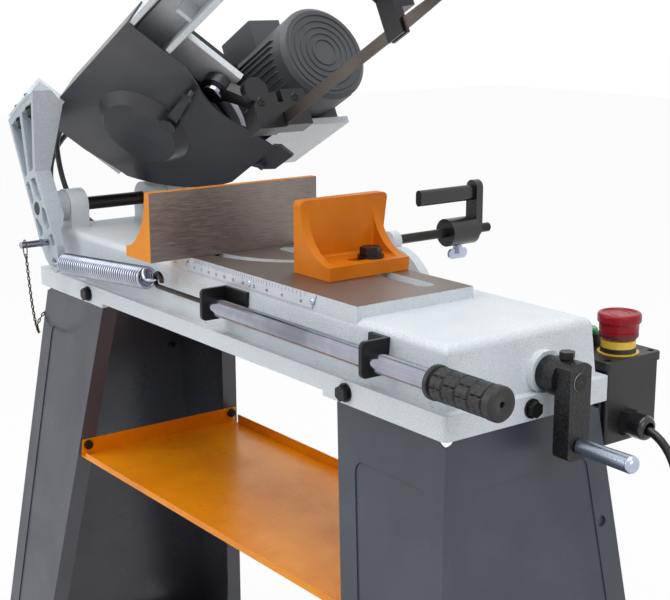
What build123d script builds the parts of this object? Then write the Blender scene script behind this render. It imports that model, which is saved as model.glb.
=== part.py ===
# Horizontal and vertical metal cutting band saw with swivel vise and sheet stand.
# Millimetres. Origin on the floor at the middle of the floor bolts, X to the crank end, Y to the rear, Z up.
import os
from math import cos, pi, radians, sin, tan
from build123d import *

# Overall sizes
bed_length = 754.0
bed_width = 193.0
stand_height = 520.0
bow_tilt = 27.5
loop_tilt = 45.0
wheel_radius = 93.0
wheel_distance = 527.0

# Named clearances
run_gap = 0.05
slide_gap = 0.2

# Stand
sheet = 2.5
skirt_wall = 7.0
skirt_height = 22.0
leg_overlap = 15.0
leg_width = 146.0
outer_flare = 0.122
inner_flare = 0.195
side_flare = 0.125
lip_width = 20.0
foot_width = 36.0
foot_hole_radius = 5.5
leg_bolt_x = 246.0
leg_bolt_rise = 11.0
leg_bolt_radius = 5.0

# Chip tray
tray_top = 168.0
tray_depth = 22.0
tray_sheet = 1.5
tray_bolt_y = 101.0

# Bed casting
ledge = 9.0
body_draft = 4.3
hood_height = 75.0
body_wall = 9.0
table_height = 86.0
table_plate = 12.0
table_front = 12.8
table_rear = 149.0
table_left_back = 440.0
table_right_back = 131.0
slot_width = 18.0

# Vise
face_back = 406.0
jaw_front = -36.5
jaw_rear = 170.0
jaw_height = 71.0
jaw_bolt_radius = 6.0
mitre_radius = 115.0
jaw_opening = 123.0
movable_length = 97.0
screw_y = 118.0
screw_z = 37.7
screw_radius = 8.0
crank_throw = 55.0
handle_length = 61.0

# Feed adjuster
tube_radius = 9.25
tube_y = -4.5
tube_z = 50.5
rod_radius = 2.5
wire_radius = 2.0
spring_radius = 10.5
spring_pitch = 4.6

# Bow
pivot_back = 38.0
pivot_rise = 100.5
pivot_radius = 8.0
blade_y_offset = 176.0
blade_drop = -11.5
blade_width = 13.0
blade_thick = 0.65
blade_gap = 0.3
wheel_u = 116.0
plate_back = -22.0
plate_front = -14.0
rim_front = 19.0
tension_travel = 12.0
rim_wall = 6.0
housing_radius = 104.0
beam_low = 50.0
cover_sheet = 1.8
axle_radius = 10.0

# Drive
motor_radius = 58.0
motor_length = 190.0
motor_pulley_radius = 28.0
gear_pulley_radius = 44.0
belt_depth = 8.0

# Power cord
cord_radius = 4.0
coil_step = 8.8

# Derived places
right = bed_length / 2
left = -bed_length / 2
front = -bed_width / 2
rear = bed_width / 2
base = stand_height
table = base + table_height
pivot_x = left + pivot_back
pivot_z = base + pivot_rise
jaw_face_x = right - face_back
movable_x = jaw_face_x + jaw_opening


def level(z):
    """Horizontal plane at a height."""
    return Plane.XY.offset(z)


def side(y):
    """Upright plane across the depth, local x along X and local y up, looking from the front."""
    return Plane.XZ.offset(-y)


def end(x):
    """Upright plane across the length, local x along Y and local y up."""
    return Plane.YZ.offset(x)


# Planes of the tilted bow: local x along the bow, local y square to it, local z to the front
bow = Plane(
    origin=(pivot_x, 0, pivot_z),
    x_dir=(cos(radians(bow_tilt)), 0, sin(radians(bow_tilt))),
    z_dir=(0, -1, 0),
)
loop_radius = wheel_radius + blade_gap + blade_thick / 2
blade_y = front + blade_y_offset
wheel_y = blade_y - loop_radius * sin(radians(loop_tilt))
wheel_z = blade_drop + loop_radius * cos(radians(loop_tilt))
loop_normal = bow.z_dir * cos(radians(loop_tilt)) - bow.y_dir * sin(radians(loop_tilt))
loop = Plane(
    origin=bow.from_local_coords((wheel_u, wheel_z, -wheel_y)),
    x_dir=bow.x_dir,
    z_dir=loop_normal,
)


def bow_side(y):
    """Side plane of the bow at a depth."""
    return bow.offset(-y)


def bow_cross(x):
    """Plane square to the bow's length, local x to the rear and local y up the bow."""
    return Plane(origin=bow.from_local_coords((x, 0, 0)), x_dir=(0, 1, 0), z_dir=bow.x_dir)


def loop_cross(u):
    """Plane square to the bow's length, local x along the loop plane, local y along its normal."""
    return Plane(origin=loop.from_local_coords((u, 0, 0)), x_dir=loop.y_dir, z_dir=loop.x_dir)


# Leg outline at a depth below the bed
leg_outer_top = right - skirt_wall - 0.2
leg_inner_top = leg_outer_top - leg_width
leg_half_top = bed_width / 2 - skirt_wall - 0.2


def leg_outer(depth):
    """Outer face of a leg at a depth below the bed."""
    return leg_outer_top + outer_flare * depth


def leg_inner(depth):
    """Inner edge of a leg at a depth below the bed."""
    return leg_inner_top + inner_flare * depth


def leg_half(depth):
    """Half width of a leg across Y at a depth below the bed."""
    return leg_half_top + side_flare * depth


foot_x = (leg_inner(stand_height) + leg_outer(stand_height)) / 2
foot_y = leg_half(stand_height) - foot_width / 2 - 2
emboss_margin = 24.0
emboss_top = 48.0
emboss_low = stand_height - 60.0
emboss_depth = 1.2
cable_hole_y = 87.0
cable_hole_depth = 110.0

with BuildPart() as right_leg:
    for depth in (-leg_overlap, stand_height):
        with BuildSketch(level(stand_height - depth)):
            with Locations(((leg_inner(depth) + leg_outer(depth)) / 2, 0)):
                Rectangle(leg_outer(depth) - leg_inner(depth), 2 * leg_half(depth))
    loft(ruled=True)
    for depth in (-leg_overlap - 1, stand_height - sheet):
        with BuildSketch(level(stand_height - depth)):
            with Locations(((leg_inner(depth) + leg_outer(depth)) / 2, 0)):
                Rectangle(leg_outer(depth) - leg_inner(depth) - 2 * sheet, 2 * (leg_half(depth) - sheet))
    loft(ruled=True, mode=Mode.SUBTRACT)
    for depth in (-leg_overlap - 1, stand_height + 1):
        with BuildSketch(level(stand_height - depth)):
            with Locations((leg_inner(depth), 0)):
                Rectangle(2 * sheet + 4, 2 * (leg_half(depth) - lip_width))
    loft(ruled=True, mode=Mode.SUBTRACT)
    with BuildSketch(level(0)):
        with Locations(((leg_inner(stand_height) + leg_outer(stand_height) - foot_width) / 2, 0)):
            Rectangle(
                leg_outer(stand_height) - leg_inner(stand_height) - foot_width,
                2 * (leg_half(stand_height) - foot_width),
            )
    extrude(amount=sheet, mode=Mode.SUBTRACT)
    with BuildSketch(level(0)):
        with Locations((foot_x, -foot_y), (foot_x, foot_y)):
            Circle(foot_hole_radius)
    extrude(amount=2 * sheet, mode=Mode.SUBTRACT)
    # Pressed panels of the front, rear and end faces
    for s in (-1, 1):
        panel = Plane(
            origin=(0, s * leg_half(0), stand_height), x_dir=(-s, 0, 0), z_dir=(0, s, side_flare)
        )
        with BuildSketch(panel):
            with BuildLine():
                Polyline(
                    (-s * (leg_inner(emboss_top) + emboss_margin), -emboss_top),
                    (-s * (leg_outer(emboss_top) - emboss_margin), -emboss_top),
                    (-s * (leg_outer(emboss_low) - emboss_margin), -emboss_low),
                    (-s * (leg_inner(emboss_low) + emboss_margin), -emboss_low),
                    close=True,
                )
            make_face()
            fillet(vertices(), 10)
        extrude(amount=-emboss_depth, mode=Mode.SUBTRACT)
    with BuildSketch(Plane(origin=(leg_outer(0), 0, stand_height), x_dir=(0, 1, 0), z_dir=(1, 0, outer_flare))):
        with BuildLine():
            Polyline(
                (-leg_half(emboss_top) + emboss_margin, -emboss_top),
                (leg_half(emboss_top) - emboss_margin, -emboss_top),
                (leg_half(emboss_low) - emboss_margin, -emboss_low),
                (-leg_half(emboss_low) + emboss_margin, -emboss_low),
                close=True,
            )
        make_face()
        fillet(vertices(), 10)
    extrude(amount=-emboss_depth, mode=Mode.SUBTRACT)
    # Corner reliefs, cable hole and bolt holes
    for s in (-1, 1):
        with BuildSketch(
            Plane(origin=(leg_outer(0), s * leg_half(0), stand_height - 2), z_dir=(1, s, 0))
        ):
            Circle(5.5)
        extrude(amount=12, both=True, mode=Mode.SUBTRACT)
    with BuildSketch(end(leg_outer(cable_hole_depth) - 20)):
        with Locations((cable_hole_y, stand_height - cable_hole_depth)):
            Circle(5)
    extrude(amount=30, mode=Mode.SUBTRACT)
    with BuildSketch(end(leg_outer(0) - 30)):
        with Locations((0, stand_height + leg_bolt_rise)):
            Circle(leg_bolt_radius + 0.3)
    extrude(amount=60, mode=Mode.SUBTRACT)
    with BuildSketch(side(0)):
        with Locations((leg_bolt_x, stand_height + leg_bolt_rise)):
            Circle(leg_bolt_radius + 0.3)
    extrude(amount=bed_width, both=True, mode=Mode.SUBTRACT)
    # Holes of the tray bolts in the lips
    with BuildSketch(end(0)):
        with Locations((-tray_bolt_y, stand_height - tray_top - 7), (tray_bolt_y, stand_height - tray_top - 7)):
            Circle(4.2)
    extrude(amount=leg_inner(tray_top) + 20, mode=Mode.SUBTRACT)
right_leg.part.label = "right_leg"

with BuildPart() as left_leg:
    mirror(right_leg.part, about=Plane.YZ)
left_leg.part.label = "left_leg"

# Chip tray hung between the lips of the legs
tray_low = tray_top + tray_depth
tray_half = leg_half(tray_top) - 2

with BuildPart() as chip_tray:
    with BuildSketch(side(tray_half)):
        with BuildLine():
            Polyline(
                (-leg_inner(tray_top) + 0.1, stand_height - tray_top),
                (-leg_inner(tray_low) + 0.1, stand_height - tray_low),
                (leg_inner(tray_low) - 0.1, stand_height - tray_low),
                (leg_inner(tray_top) - 0.1, stand_height - tray_top),
                close=True,
            )
        make_face()
    extrude(amount=2 * tray_half)
    with BuildSketch(side(tray_half + 1)):
        with BuildLine():
            Polyline(
                (-leg_inner(tray_top) + tray_sheet + 0.3, stand_height - tray_top + 1),
                (-leg_inner(tray_low) + tray_sheet, stand_height - tray_low + tray_sheet),
                (leg_inner(tray_low) - tray_sheet, stand_height - tray_low + tray_sheet),
                (leg_inner(tray_top) - tray_sheet - 0.3, stand_height - tray_top + 1),
                close=True,
            )
        make_face()
    extrude(amount=2 * tray_half + 2, mode=Mode.SUBTRACT)
    with BuildSketch(level(stand_height - tray_low)):
        with Locations((0, tray_half - tray_sheet / 2)):
            Rectangle(2 * leg_inner(tray_low) - 24, tray_sheet)
    extrude(amount=13)
    with BuildSketch(level(stand_height - tray_low)):
        with Locations((0, -tray_half + tray_sheet / 2)):
            Rectangle(2 * leg_inner(tray_low) - 24, tray_sheet)
    extrude(amount=7)
    with BuildSketch(end(0)):
        with Locations((-tray_bolt_y, stand_height - tray_top - 7), (tray_bolt_y, stand_height - tray_top - 7)):
            Circle(4.2)
    extrude(amount=leg_inner(tray_low) + 5, both=True, mode=Mode.SUBTRACT)
chip_tray.part.label = "chip_tray"

# Button head bolts of the tray, heads inside the tray
tray_bolt_x = leg_inner(tray_top + 7)
with BuildPart() as tray_bolts:
    for sx in (-1, 1):
        for sy in (-1, 1):
            seat = Plane(
                origin=(sx * (tray_bolt_x - tray_sheet - 0.5), sy * tray_bolt_y, stand_height - tray_top - 7),
                x_dir=(0, 1, 0),
                z_dir=(-sx, 0, -inner_flare),
            )
            with BuildSketch(seat):
                Circle(5.5)
            extrude(amount=3.2)
            with BuildSketch(seat):
                Circle(3)
            extrude(amount=-9)
tray_bolts.part.label = "tray_bolts"

# Flanged hex bolts of the legs
with BuildPart() as leg_bolts:
    bolt_planes = []
    for sx in (-1, 1):
        for sy in (-1, 1):
            bolt_planes.append(
                Plane(origin=(sx * leg_bolt_x, sy * (bed_width / 2 + 0.1), base + leg_bolt_rise), z_dir=(0, sy, 0))
            )
        bolt_planes.append(Plane(origin=(sx * (right + 0.1), 0, base + leg_bolt_rise), z_dir=(sx, 0, 0)))
    for seat in bolt_planes:
        with BuildSketch(seat):
            Circle(8.6)
        extrude(amount=1.8)
        with BuildSketch(seat):
            RegularPolygon(7.4, 6)
        extrude(amount=7)
        with BuildSketch(seat):
            Circle(leg_bolt_radius)
        extrude(amount=-16)
leg_bolts.part.label = "leg_bolts"

# Bed casting
lug_radius = 20.0
front_lug = (front + 18.5, front + 42)
rear_lug = (front + 125, front + 150)
notch_y = front + 136
notch_left = left + 64
table_left = right - table_left_back
table_right = right - table_right_back
jaw_pivot_x = jaw_face_x - 10
jaw_pivot_y = front + 158
screw_pos = (front + screw_y, base + screw_z)
stop_x = right - 297
stop_rod_z = base + 100.0
stop_rod_radius = 5.0
slot_right = right - 155
slot_left = right - 395
body_outline = [
    (left + ledge + 3, front + ledge),
    (right - ledge, front + ledge),
    (right - ledge, rear - ledge),
    (table_left - 3, rear - ledge),
    (table_left - 3, notch_y),
    (notch_left, notch_y),
    (notch_left, rear_lug[1] + 8),
    (left + ledge + 3, rear_lug[1] + 8),
]
hump = (right - 276, rear - 10.5, rear)


def wall_y(z):
    """Front wall of the drafted bed body at a height above the floor."""
    return front + ledge + (z - base - skirt_height) * tan(radians(body_draft))


with BuildPart() as bed_casting:
    with BuildSketch(level(base)):
        RectangleRounded(bed_length, bed_width, 5)
    extrude(amount=skirt_height)
    with BuildSketch(level(base + skirt_height - 0.5)):
        with BuildLine():
            Polyline(*body_outline, close=True)
        make_face()
    extrude(amount=hood_height - skirt_height + 0.5, taper=body_draft)
    hood_edges = bed_casting.edges().filter_by_position(Axis.Z, base + hood_height - 0.01, base + hood_height + 0.01)
    fillet(hood_edges, 8)
    # Ground table with the ear of the fixed jaw's pivot
    with BuildSketch(level(base + hood_height - table_plate)):
        with Locations(((table_left + table_right) / 2, front + (table_front + table_rear) / 2)):
            Rectangle(table_right - table_left, table_rear - table_front)
        with Locations((jaw_pivot_x, jaw_pivot_y)):
            Circle(13)
        with Locations((jaw_pivot_x, jaw_pivot_y - 10)):
            Rectangle(26, 20)
    extrude(amount=table_height - hood_height + table_plate)
    # Lugs of the bow pivot
    for lug in (front_lug, rear_lug):
        with BuildSketch(side(lug[1])):
            with Locations((pivot_x, pivot_z)):
                Circle(lug_radius)
            with Locations((pivot_x, (pivot_z + base + hood_height - 8) / 2)):
                Rectangle(2 * lug_radius, pivot_z - base - hood_height + 8)
        extrude(amount=lug[1] - lug[0])
    # Rounded rear lug that carries the stop rod
    with BuildSketch(side(hump[2])):
        with BuildLine():
            ThreePointArc((hump[0] + 44, base + 20), (hump[0] + 28, base + 77), (hump[0] - 2, base + 94.5))
            Line((hump[0] - 2, base + 94.5), (stop_x - 10, base + 94.5))
            Polyline((stop_x - 10, base + 94.5), (stop_x - 16, base + 20), (hump[0] + 44, base + 20))
        make_face()
        with Locations((stop_x, stop_rod_z)):
            Circle(10)
    extrude(amount=hump[2] - hump[1])
    # Hollow underside
    with BuildSketch(level(base)):
        Rectangle(bed_length - 2 * skirt_wall, bed_width - 2 * skirt_wall)
    extrude(amount=skirt_height - 6, mode=Mode.SUBTRACT)
    with BuildSketch(level(base)):
        with BuildLine():
            Polyline(*body_outline, close=True)
        make_face()
        offset(amount=-body_wall - 2, kind=Kind.INTERSECTION, mode=Mode.REPLACE)
    extrude(amount=hood_height - body_wall, mode=Mode.SUBTRACT)
    # Raised middle of the front and rear skirt edges
    with BuildSketch(side(0)):
        with Locations((0, base)):
            Rectangle(bed_length - 2 * leg_width - 2 * skirt_wall - 24, 10)
    extrude(amount=bed_width, both=True, mode=Mode.SUBTRACT)
    # Screw bosses at the crank end and inside, with their bore
    with BuildSketch(end(right - ledge - 14)):
        with Locations(screw_pos):
            Circle(19)
    extrude(amount=ledge + 14 - 3.5)
    with BuildSketch(end(slot_left - 26)):
        with Locations((screw_pos[0], base + 44)):
            Rectangle(40, 2 * (hood_height - body_wall - 43))
    extrude(amount=14)
    with BuildSketch(end(slot_left - 40)):
        with Locations(screw_pos):
            Circle(screw_radius + run_gap)
    extrude(amount=bed_length, mode=Mode.SUBTRACT)
    # Bore of the bow pivot and of the stop rod
    with BuildSketch(side(front)):
        with Locations((pivot_x, pivot_z)):
            Circle(pivot_radius + run_gap)
    extrude(amount=-bed_width, mode=Mode.SUBTRACT)
    with BuildSketch(side(hump[2] + 1)):
        with Locations((stop_x, stop_rod_z)):
            Circle(stop_rod_radius + run_gap)
    extrude(amount=hump[2] - hump[1] - 1, mode=Mode.SUBTRACT)
    # Vise slot, mitre slot and pivot hole of the fixed jaw
    with BuildSketch(level(base + hood_height - body_wall - 20)):
        with Locations(((slot_left + slot_right) / 2, front + screw_y)):
            SlotOverall(slot_right - slot_left, slot_width)
        SlotArc(CenterArc((jaw_pivot_x, jaw_pivot_y), mitre_radius, -92, 50), 14)
        with Locations((jaw_pivot_x, jaw_pivot_y)):
            Circle(jaw_bolt_radius + run_gap)
    extrude(amount=60, mode=Mode.SUBTRACT)
    # Holes of the leg bolts
    with BuildSketch(side(0)):
        with Locations((-leg_bolt_x, base + leg_bolt_rise), (leg_bolt_x, base + leg_bolt_rise)):
            Circle(leg_bolt_radius + 0.3)
    extrude(amount=bed_width, both=True, mode=Mode.SUBTRACT)
    with BuildSketch(end(0)):
        with Locations((0, base + leg_bolt_rise)):
            Circle(leg_bolt_radius + 0.3)
    extrude(amount=bed_length, both=True, mode=Mode.SUBTRACT)
bed_casting.part.label = "bed_casting"

# Mitre scale on the front edge of the table
scale_zero_x = jaw_face_x + 4
with BuildPart() as angle_scale:
    with BuildSketch(side(front + table_front - 0.05)):
        with BuildLine():
            Polyline(
                (scale_zero_x - 5, table - 0.5),
                (scale_zero_x - 26, table - 13.5),
                (scale_zero_x + 205, table - 13.5),
                (scale_zero_x + 212, table - 0.5),
                close=True,
            )
        make_face()
    extrude(amount=1.2)
angle_scale.part.label = "angle_scale"

# Two angle brackets of the adjuster tube
tube_pos = (front + tube_y, base + tube_z)
brackets = ((343.0, 1, 42.0), (85.0, -1, 25.0))
bracket_low = base + 36.5
bracket_top = base + 68.5
with BuildPart() as tube_brackets:
    for back, way, flange in brackets:
        with BuildSketch(end(right - back)):
            with BuildLine():
                Polyline(
                    (tube_pos[0] - 14, bracket_low),
                    (wall_y(bracket_low) - 0.05, bracket_low),
                    (wall_y(bracket_top) - 0.05, bracket_top),
                    (tube_pos[0] - 14, bracket_top),
                    close=True,
                )
            make_face()
            fillet(vertices().sort_by(Axis.X)[0:2], 5)
        extrude(amount=4 * way)
        with BuildSketch(end(right - back)):
            with BuildLine():
                Polyline(
                    (wall_y(bracket_low) - 4, bracket_low),
                    (wall_y(bracket_low) - 0.05, bracket_low),
                    (wall_y(bracket_top) - 0.05, bracket_top),
                    (wall_y(bracket_top) - 4, bracket_top),
                    close=True,
                )
            make_face()
        extrude(amount=flange * way)
        with BuildSketch(end(right - back)):
            with Locations(tube_pos):
                Circle(tube_radius + run_gap)
        extrude(amount=4 * way, mode=Mode.SUBTRACT)
tube_brackets.part.label = "tube_brackets"

# Control box on a bracket behind the bed
box_right = right - 6
box_left = right - 86
box_front = rear + 3.5
box_rear = rear + 72
box_low = base - 46
box_top = base + 24
lid_top = base + 32
estop_pos = (right - 26, front + 232)
start_pos = (right - 64, front + 232)
estop_radius = 20.0

with BuildPart() as control_bracket:
    with BuildSketch(side(rear + 3.2)):
        with Locations(((box_left + box_right) / 2 - 2, base - 10)):
            Rectangle(box_right - box_left - 8, 62)
        with Locations((box_right - 10, base + leg_bolt_rise)):
            Circle(3, mode=Mode.SUBTRACT)
    extrude(amount=3.1)
control_bracket.part.label = "control_bracket"

with BuildPart() as control_box:
    with BuildSketch(level(box_low)):
        with Locations(((box_left + box_right) / 2, (box_front + box_rear) / 2)):
            Rectangle(box_right - box_left, box_rear - box_front)
    extrude(amount=box_top - box_low)
    fillet(control_box.edges().filter_by(Axis.Z), 3)
    fillet(control_box.faces().sort_by(Axis.Z)[0].edges(), 2)
    with BuildSketch(level(box_low + 4)):
        with Locations(((box_left + box_right) / 2, (box_front + box_rear) / 2)):
            Rectangle(box_right - box_left - 7, box_rear - box_front - 7)
    extrude(amount=box_top - box_low, mode=Mode.SUBTRACT)
    with BuildSketch(end(box_right - 10)):
        with Locations((front + 224, base - 28)):
            Circle(7)
    extrude(amount=20, mode=Mode.SUBTRACT)
control_box.part.label = "control_box"

with BuildPart() as box_lid:
    with BuildSketch(level(box_top + 0.1)):
        with Locations(((box_left + box_right) / 2, (box_front + box_rear) / 2)):
            RectangleRounded(box_right - box_left + 4, box_rear - box_front + 4, 5)
    extrude(amount=lid_top - box_top - 0.1)
    fillet(box_lid.faces().sort_by(Axis.Z)[-1].edges(), 1.5)
    with BuildSketch(level(lid_top)):
        with Locations(((box_left + box_right) / 2, (box_front + box_rear) / 2)):
            with GridLocations(box_right - box_left - 11, box_rear - box_front - 11, 2, 2):
                Circle(3)
    extrude(amount=-5, mode=Mode.SUBTRACT)
    with BuildSketch(level(lid_top)):
        with Locations(start_pos):
            Circle(13)
    extrude(amount=11)
    with BuildSketch(level(lid_top + 12)):
        with Locations(start_pos):
            Circle(10)
    extrude(amount=-30, mode=Mode.SUBTRACT)
    with BuildSketch(level(lid_top + 1)):
        with Locations(estop_pos):
            Circle(9)
    extrude(amount=-20, mode=Mode.SUBTRACT)
box_lid.part.label = "box_lid"

with BuildPart() as estop_base:
    with BuildSketch(level(lid_top + 0.1)):
        with Locations(estop_pos):
            Circle(18.9)
    extrude(amount=1)
    with BuildSketch(level(lid_top + 1.1)):
        with Locations(estop_pos):
            Circle(15.8)
    extrude(amount=11.4)
    with BuildSketch(level(lid_top + 0.1)):
        with Locations(estop_pos):
            Circle(8.9)
    extrude(amount=-16)
    with BuildSketch(level(lid_top + 13)):
        with Locations(estop_pos):
            Circle(5 + run_gap)
    extrude(amount=-32, mode=Mode.SUBTRACT)
estop_base.part.label = "estop_base"

with BuildPart() as estop_button:
    with BuildSketch(Plane(origin=(estop_pos[0], estop_pos[1], lid_top), x_dir=(1, 0, 0), z_dir=(0, -1, 0))):
        with BuildLine():
            Polyline((0, -8), (4.95, -8), (4.95, 17), (16.2, 17), (16.2, 15), (17.8, 15), (17.8, 20))
            Polyline((17.8, 20), (17.2, 20.4), (17.2, 21), (17.9, 21.4), (18.1, 27.4))
            Polyline((18.1, 27.4), (19.4, 28.5), (estop_radius, 30.3), (estop_radius, 34.6))
            ThreePointArc((estop_radius, 34.6), (19.3, 36.6), (17.6, 37.4))
            Polyline((17.6, 37.4), (16.2, 37.2), (15, 36.2), (0, 35.9), (0, -8))
        make_face()
    revolve(axis=Axis((estop_pos[0], estop_pos[1], 0), (0, 0, 1)))
estop_button.part.label = "estop_button"

with BuildPart() as start_button:
    with BuildSketch(level(lid_top + 4)):
        with Locations(start_pos):
            Circle(10 - run_gap)
    extrude(amount=12)
    chamfer(start_button.faces().sort_by(Axis.Z)[-1].edges(), 1.5)
start_button.part.label = "start_button"

# Cable gland and mains cord
gland_pos = (front + 224, base - 28)
with BuildPart() as cable_gland:
    with BuildSketch(end(box_right - 6)):
        with Locations(gland_pos):
            Circle(6.9)
    extrude(amount=6.1)
    with BuildSketch(end(box_right + 0.1)):
        with Locations(gland_pos):
            RegularPolygon(13, 6)
    extrude(amount=9)
    with BuildSketch(end(box_right + 9.1)):
        with Locations(gland_pos):
            Circle(11.5)
    extrude(amount=18)
    fillet(cable_gland.faces().sort_by(Axis.X)[-1].edges(), 5)
    with BuildSketch(end(box_right + 12)):
        with Locations(gland_pos):
            Circle(cord_radius + run_gap)
    extrude(amount=30, mode=Mode.SUBTRACT)
    with BuildSketch(end(box_right + 28)):
        with Locations(gland_pos):
            Circle(cord_radius + 2.4)
    extrude(amount=-9, taper=15, mode=Mode.SUBTRACT)
cable_gland.part.label = "cable_gland"


def turn_radii(points):
    """Fillet radii of a polyline: nearly half the shorter run at each turn, and nearly all of the first run."""
    radii = []
    share = 0.94
    for a, b, c in zip(points, points[1:], points[2:]):
        one = Vector(b) - Vector(a)
        two = Vector(c) - Vector(b)
        turn = radians(one.get_angle(two))
        radii.append(min(share * one.length, 0.45 * two.length) / tan(turn / 2))
        share = 0.45
    return radii

cord_start_x = box_right + 14
coil_x = right + 150
coil_y = front + 430
coil_outer = 53.0
floor_z = cord_radius + 0.2
cord_points = [
    (cord_start_x, gland_pos[0], gland_pos[1]),
    (box_right + 46, gland_pos[0], gland_pos[1]),
    (box_right + 69, gland_pos[0] + 3, gland_pos[1] - 63),
    (box_right + 82, gland_pos[0] + 9, gland_pos[1] - 132),
    (box_right + 92, gland_pos[0] + 18, gland_pos[1] - 234),
    (box_right + 102, gland_pos[0] + 30, gland_pos[1] - 340),
    (box_right + 120, gland_pos[0] + 48, gland_pos[1] - 416),
    (coil_x - 10, gland_pos[0] + 92, floor_z + 2),
    (coil_x + coil_outer, coil_y - 66, floor_z),
    (coil_x + coil_outer, coil_y - 0.05, floor_z),
]

with BuildPart() as power_cord:
    with BuildLine():
        cord_path = FilletPolyline(*cord_points, radius=turn_radii(cord_points))
    with BuildSketch(Plane(origin=cord_points[0], z_dir=Vector(cord_points[1]) - Vector(cord_points[0]))):
        Circle(cord_radius)
    sweep()
power_cord.part.label = "power_cord"
print("cord turn radii", [round(r, 1) for r in turn_radii(cord_points)])
print("cord length", round(cord_path.length, 1))
print("cord volume ratio", round(power_cord.part.volume / (pi * cord_radius**2 * cord_path.length), 4))

# Put-away coil in two layers, spiralling in and out again
coil_points = [Vector(coil_x + coil_outer, coil_y, floor_z)]
coil_radii = [coil_outer - coil_step / 2 * k for k in range(4)]
going = -1
for radius in coil_radii:
    coil_points.append(coil_points[-1] + Vector(going * 2 * radius, 0, 0))
    going = -going
climb_radius = coil_outer - coil_step / 2 * 4
climb_mid = coil_points[-1] + Vector(going * climb_radius, -going * climb_radius, coil_step / 2)
coil_mid = len(coil_points)
coil_points.append(climb_mid)
coil_points.append(coil_points[coil_mid - 1] + Vector(going * 2 * climb_radius, 0, coil_step))
going = -going
for radius in coil_radii[::-1]:
    coil_points.append(coil_points[-1] + Vector(going * 2 * radius, 0, 0))
    going = -going
coil_arcs = []
heading = Vector(0, 1, 0)
for p, q in zip(coil_points, coil_points[1:]):
    arc = Edge.make_tangent_arc(p, heading, q)
    coil_arcs.append(arc)
    heading = arc.tangent_at(1)
coil_tail = coil_points[-1] + heading * 52
coil_arcs.append(Edge.make_line(coil_points[-1], coil_tail))
coil_wire = Wire(coil_arcs)

with BuildPart() as power_cord_coil:
    with BuildLine():
        add(coil_wire)
    with BuildSketch(Plane(origin=coil_points[0] + Vector(0, 0, 0), z_dir=(0, 1, 0))):
        Circle(cord_radius)
    sweep()
power_cord_coil.part.label = "power_cord_coil"
print("coil length", round(coil_wire.length, 1))
print("coil volume ratio", round(power_cord_coil.part.volume / (pi * cord_radius**2 * coil_wire.length), 4))


def self_gap(wire, radius, count):
    """Least gap of a wound tube to itself, measured on points of its middle line."""
    points = [wire.position_at(k / count) for k in range(count + 1)]
    step = wire.length / count
    skip = int(pi * radius * 2 / step) + 2
    least = 1e9
    for i in range(len(points)):
        for j in range(i + skip, len(points)):
            d = (points[i] - points[j]).length
            if d < least:
                least = d
    return least - 2 * radius


print("coil self gap", round(self_gap(coil_wire, cord_radius, 400), 2))

plug_end = coil_tail + heading * 0.1
with BuildPart() as power_plug:
    with BuildSketch(Plane(origin=plug_end, z_dir=heading, x_dir=(1, 0, 0))):
        Circle(6.5)
    with BuildSketch(Plane(origin=plug_end + heading * 24, z_dir=heading, x_dir=(1, 0, 0))):
        Circle(8)
    loft()
    with BuildSketch(Plane(origin=plug_end + heading * 24, z_dir=heading, x_dir=(1, 0, 0))):
        RectangleRounded(34, 24, 8)
    extrude(amount=20)
    with BuildSketch(Plane(origin=plug_end + heading * 44, z_dir=heading, x_dir=(1, 0, 0))):
        with Locations((-9.5, 0), (9.5, 0)):
            Circle(2.4)
    extrude(amount=19)
power_plug.part.label = "power_plug"

# Work stop behind the table
rod_end_y = front + 324
hub_y = front + 279
with BuildPart() as stop_rod:
    with BuildSketch(side(rod_end_y)):
        with Locations((stop_x, stop_rod_z)):
            Circle(stop_rod_radius)
    extrude(amount=rod_end_y - hump[1] - 2)
    chamfer(stop_rod.faces().sort_by(Axis.Y)[-1].edges(), 1)
stop_rod.part.label = "stop_rod"

with BuildPart() as stop_arm:
    with BuildSketch(side(hub_y + 19.1)):
        with Locations((stop_x, stop_rod_z)):
            Circle(15)
    extrude(amount=37)
    with BuildSketch(side(hub_y + 28)):
        with Locations((stop_x, stop_rod_z + 23)):
            SlotOverall(62, 17, rotation=90)
    extrude(amount=9)
    with BuildSketch(side(hub_y + 28)):
        with Locations((stop_x, stop_rod_z + 40.5)):
            SlotOverall(17, 9, rotation=90)
    extrude(amount=84)
    with BuildSketch(side(hub_y + 33)):
        with Locations((stop_x, stop_rod_z)):
            Circle(stop_rod_radius + run_gap)
    extrude(amount=80, mode=Mode.SUBTRACT)
    with BuildSketch(level(stop_rod_z)):
        with Locations((stop_x, hub_y)):
            Circle(3 + run_gap)
    extrude(amount=-20, mode=Mode.SUBTRACT)
stop_arm.part.label = "stop_arm"

with BuildPart() as wing_screw:
    with BuildSketch(level(stop_rod_z - stop_rod_radius - 0.3)):
        with Locations((stop_x, hub_y)):
            Circle(3)
    extrude(amount=-15)
    with BuildSketch(level(stop_rod_z - 16)):
        with Locations((stop_x, hub_y)):
            Circle(5)
    extrude(amount=-8)
    with BuildSketch(end(stop_x)):
        with Locations((hub_y, stop_rod_z - 24)):
            SlotOverall(26, 11)
    extrude(amount=1.5, both=True)
wing_screw.part.label = "wing_screw"

# Lead screw with its collar, crank and nut
screw_left = slot_left - 20
with BuildPart() as lead_screw:
    with BuildSketch(end(screw_left)):
        with Locations(screw_pos):
            Circle(screw_radius)
    extrude(amount=right + 35.5 - screw_left)
    chamfer(lead_screw.faces().sort_by(Axis.X)[-1].edges(), 1)
lead_screw.part.label = "lead_screw"

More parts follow.
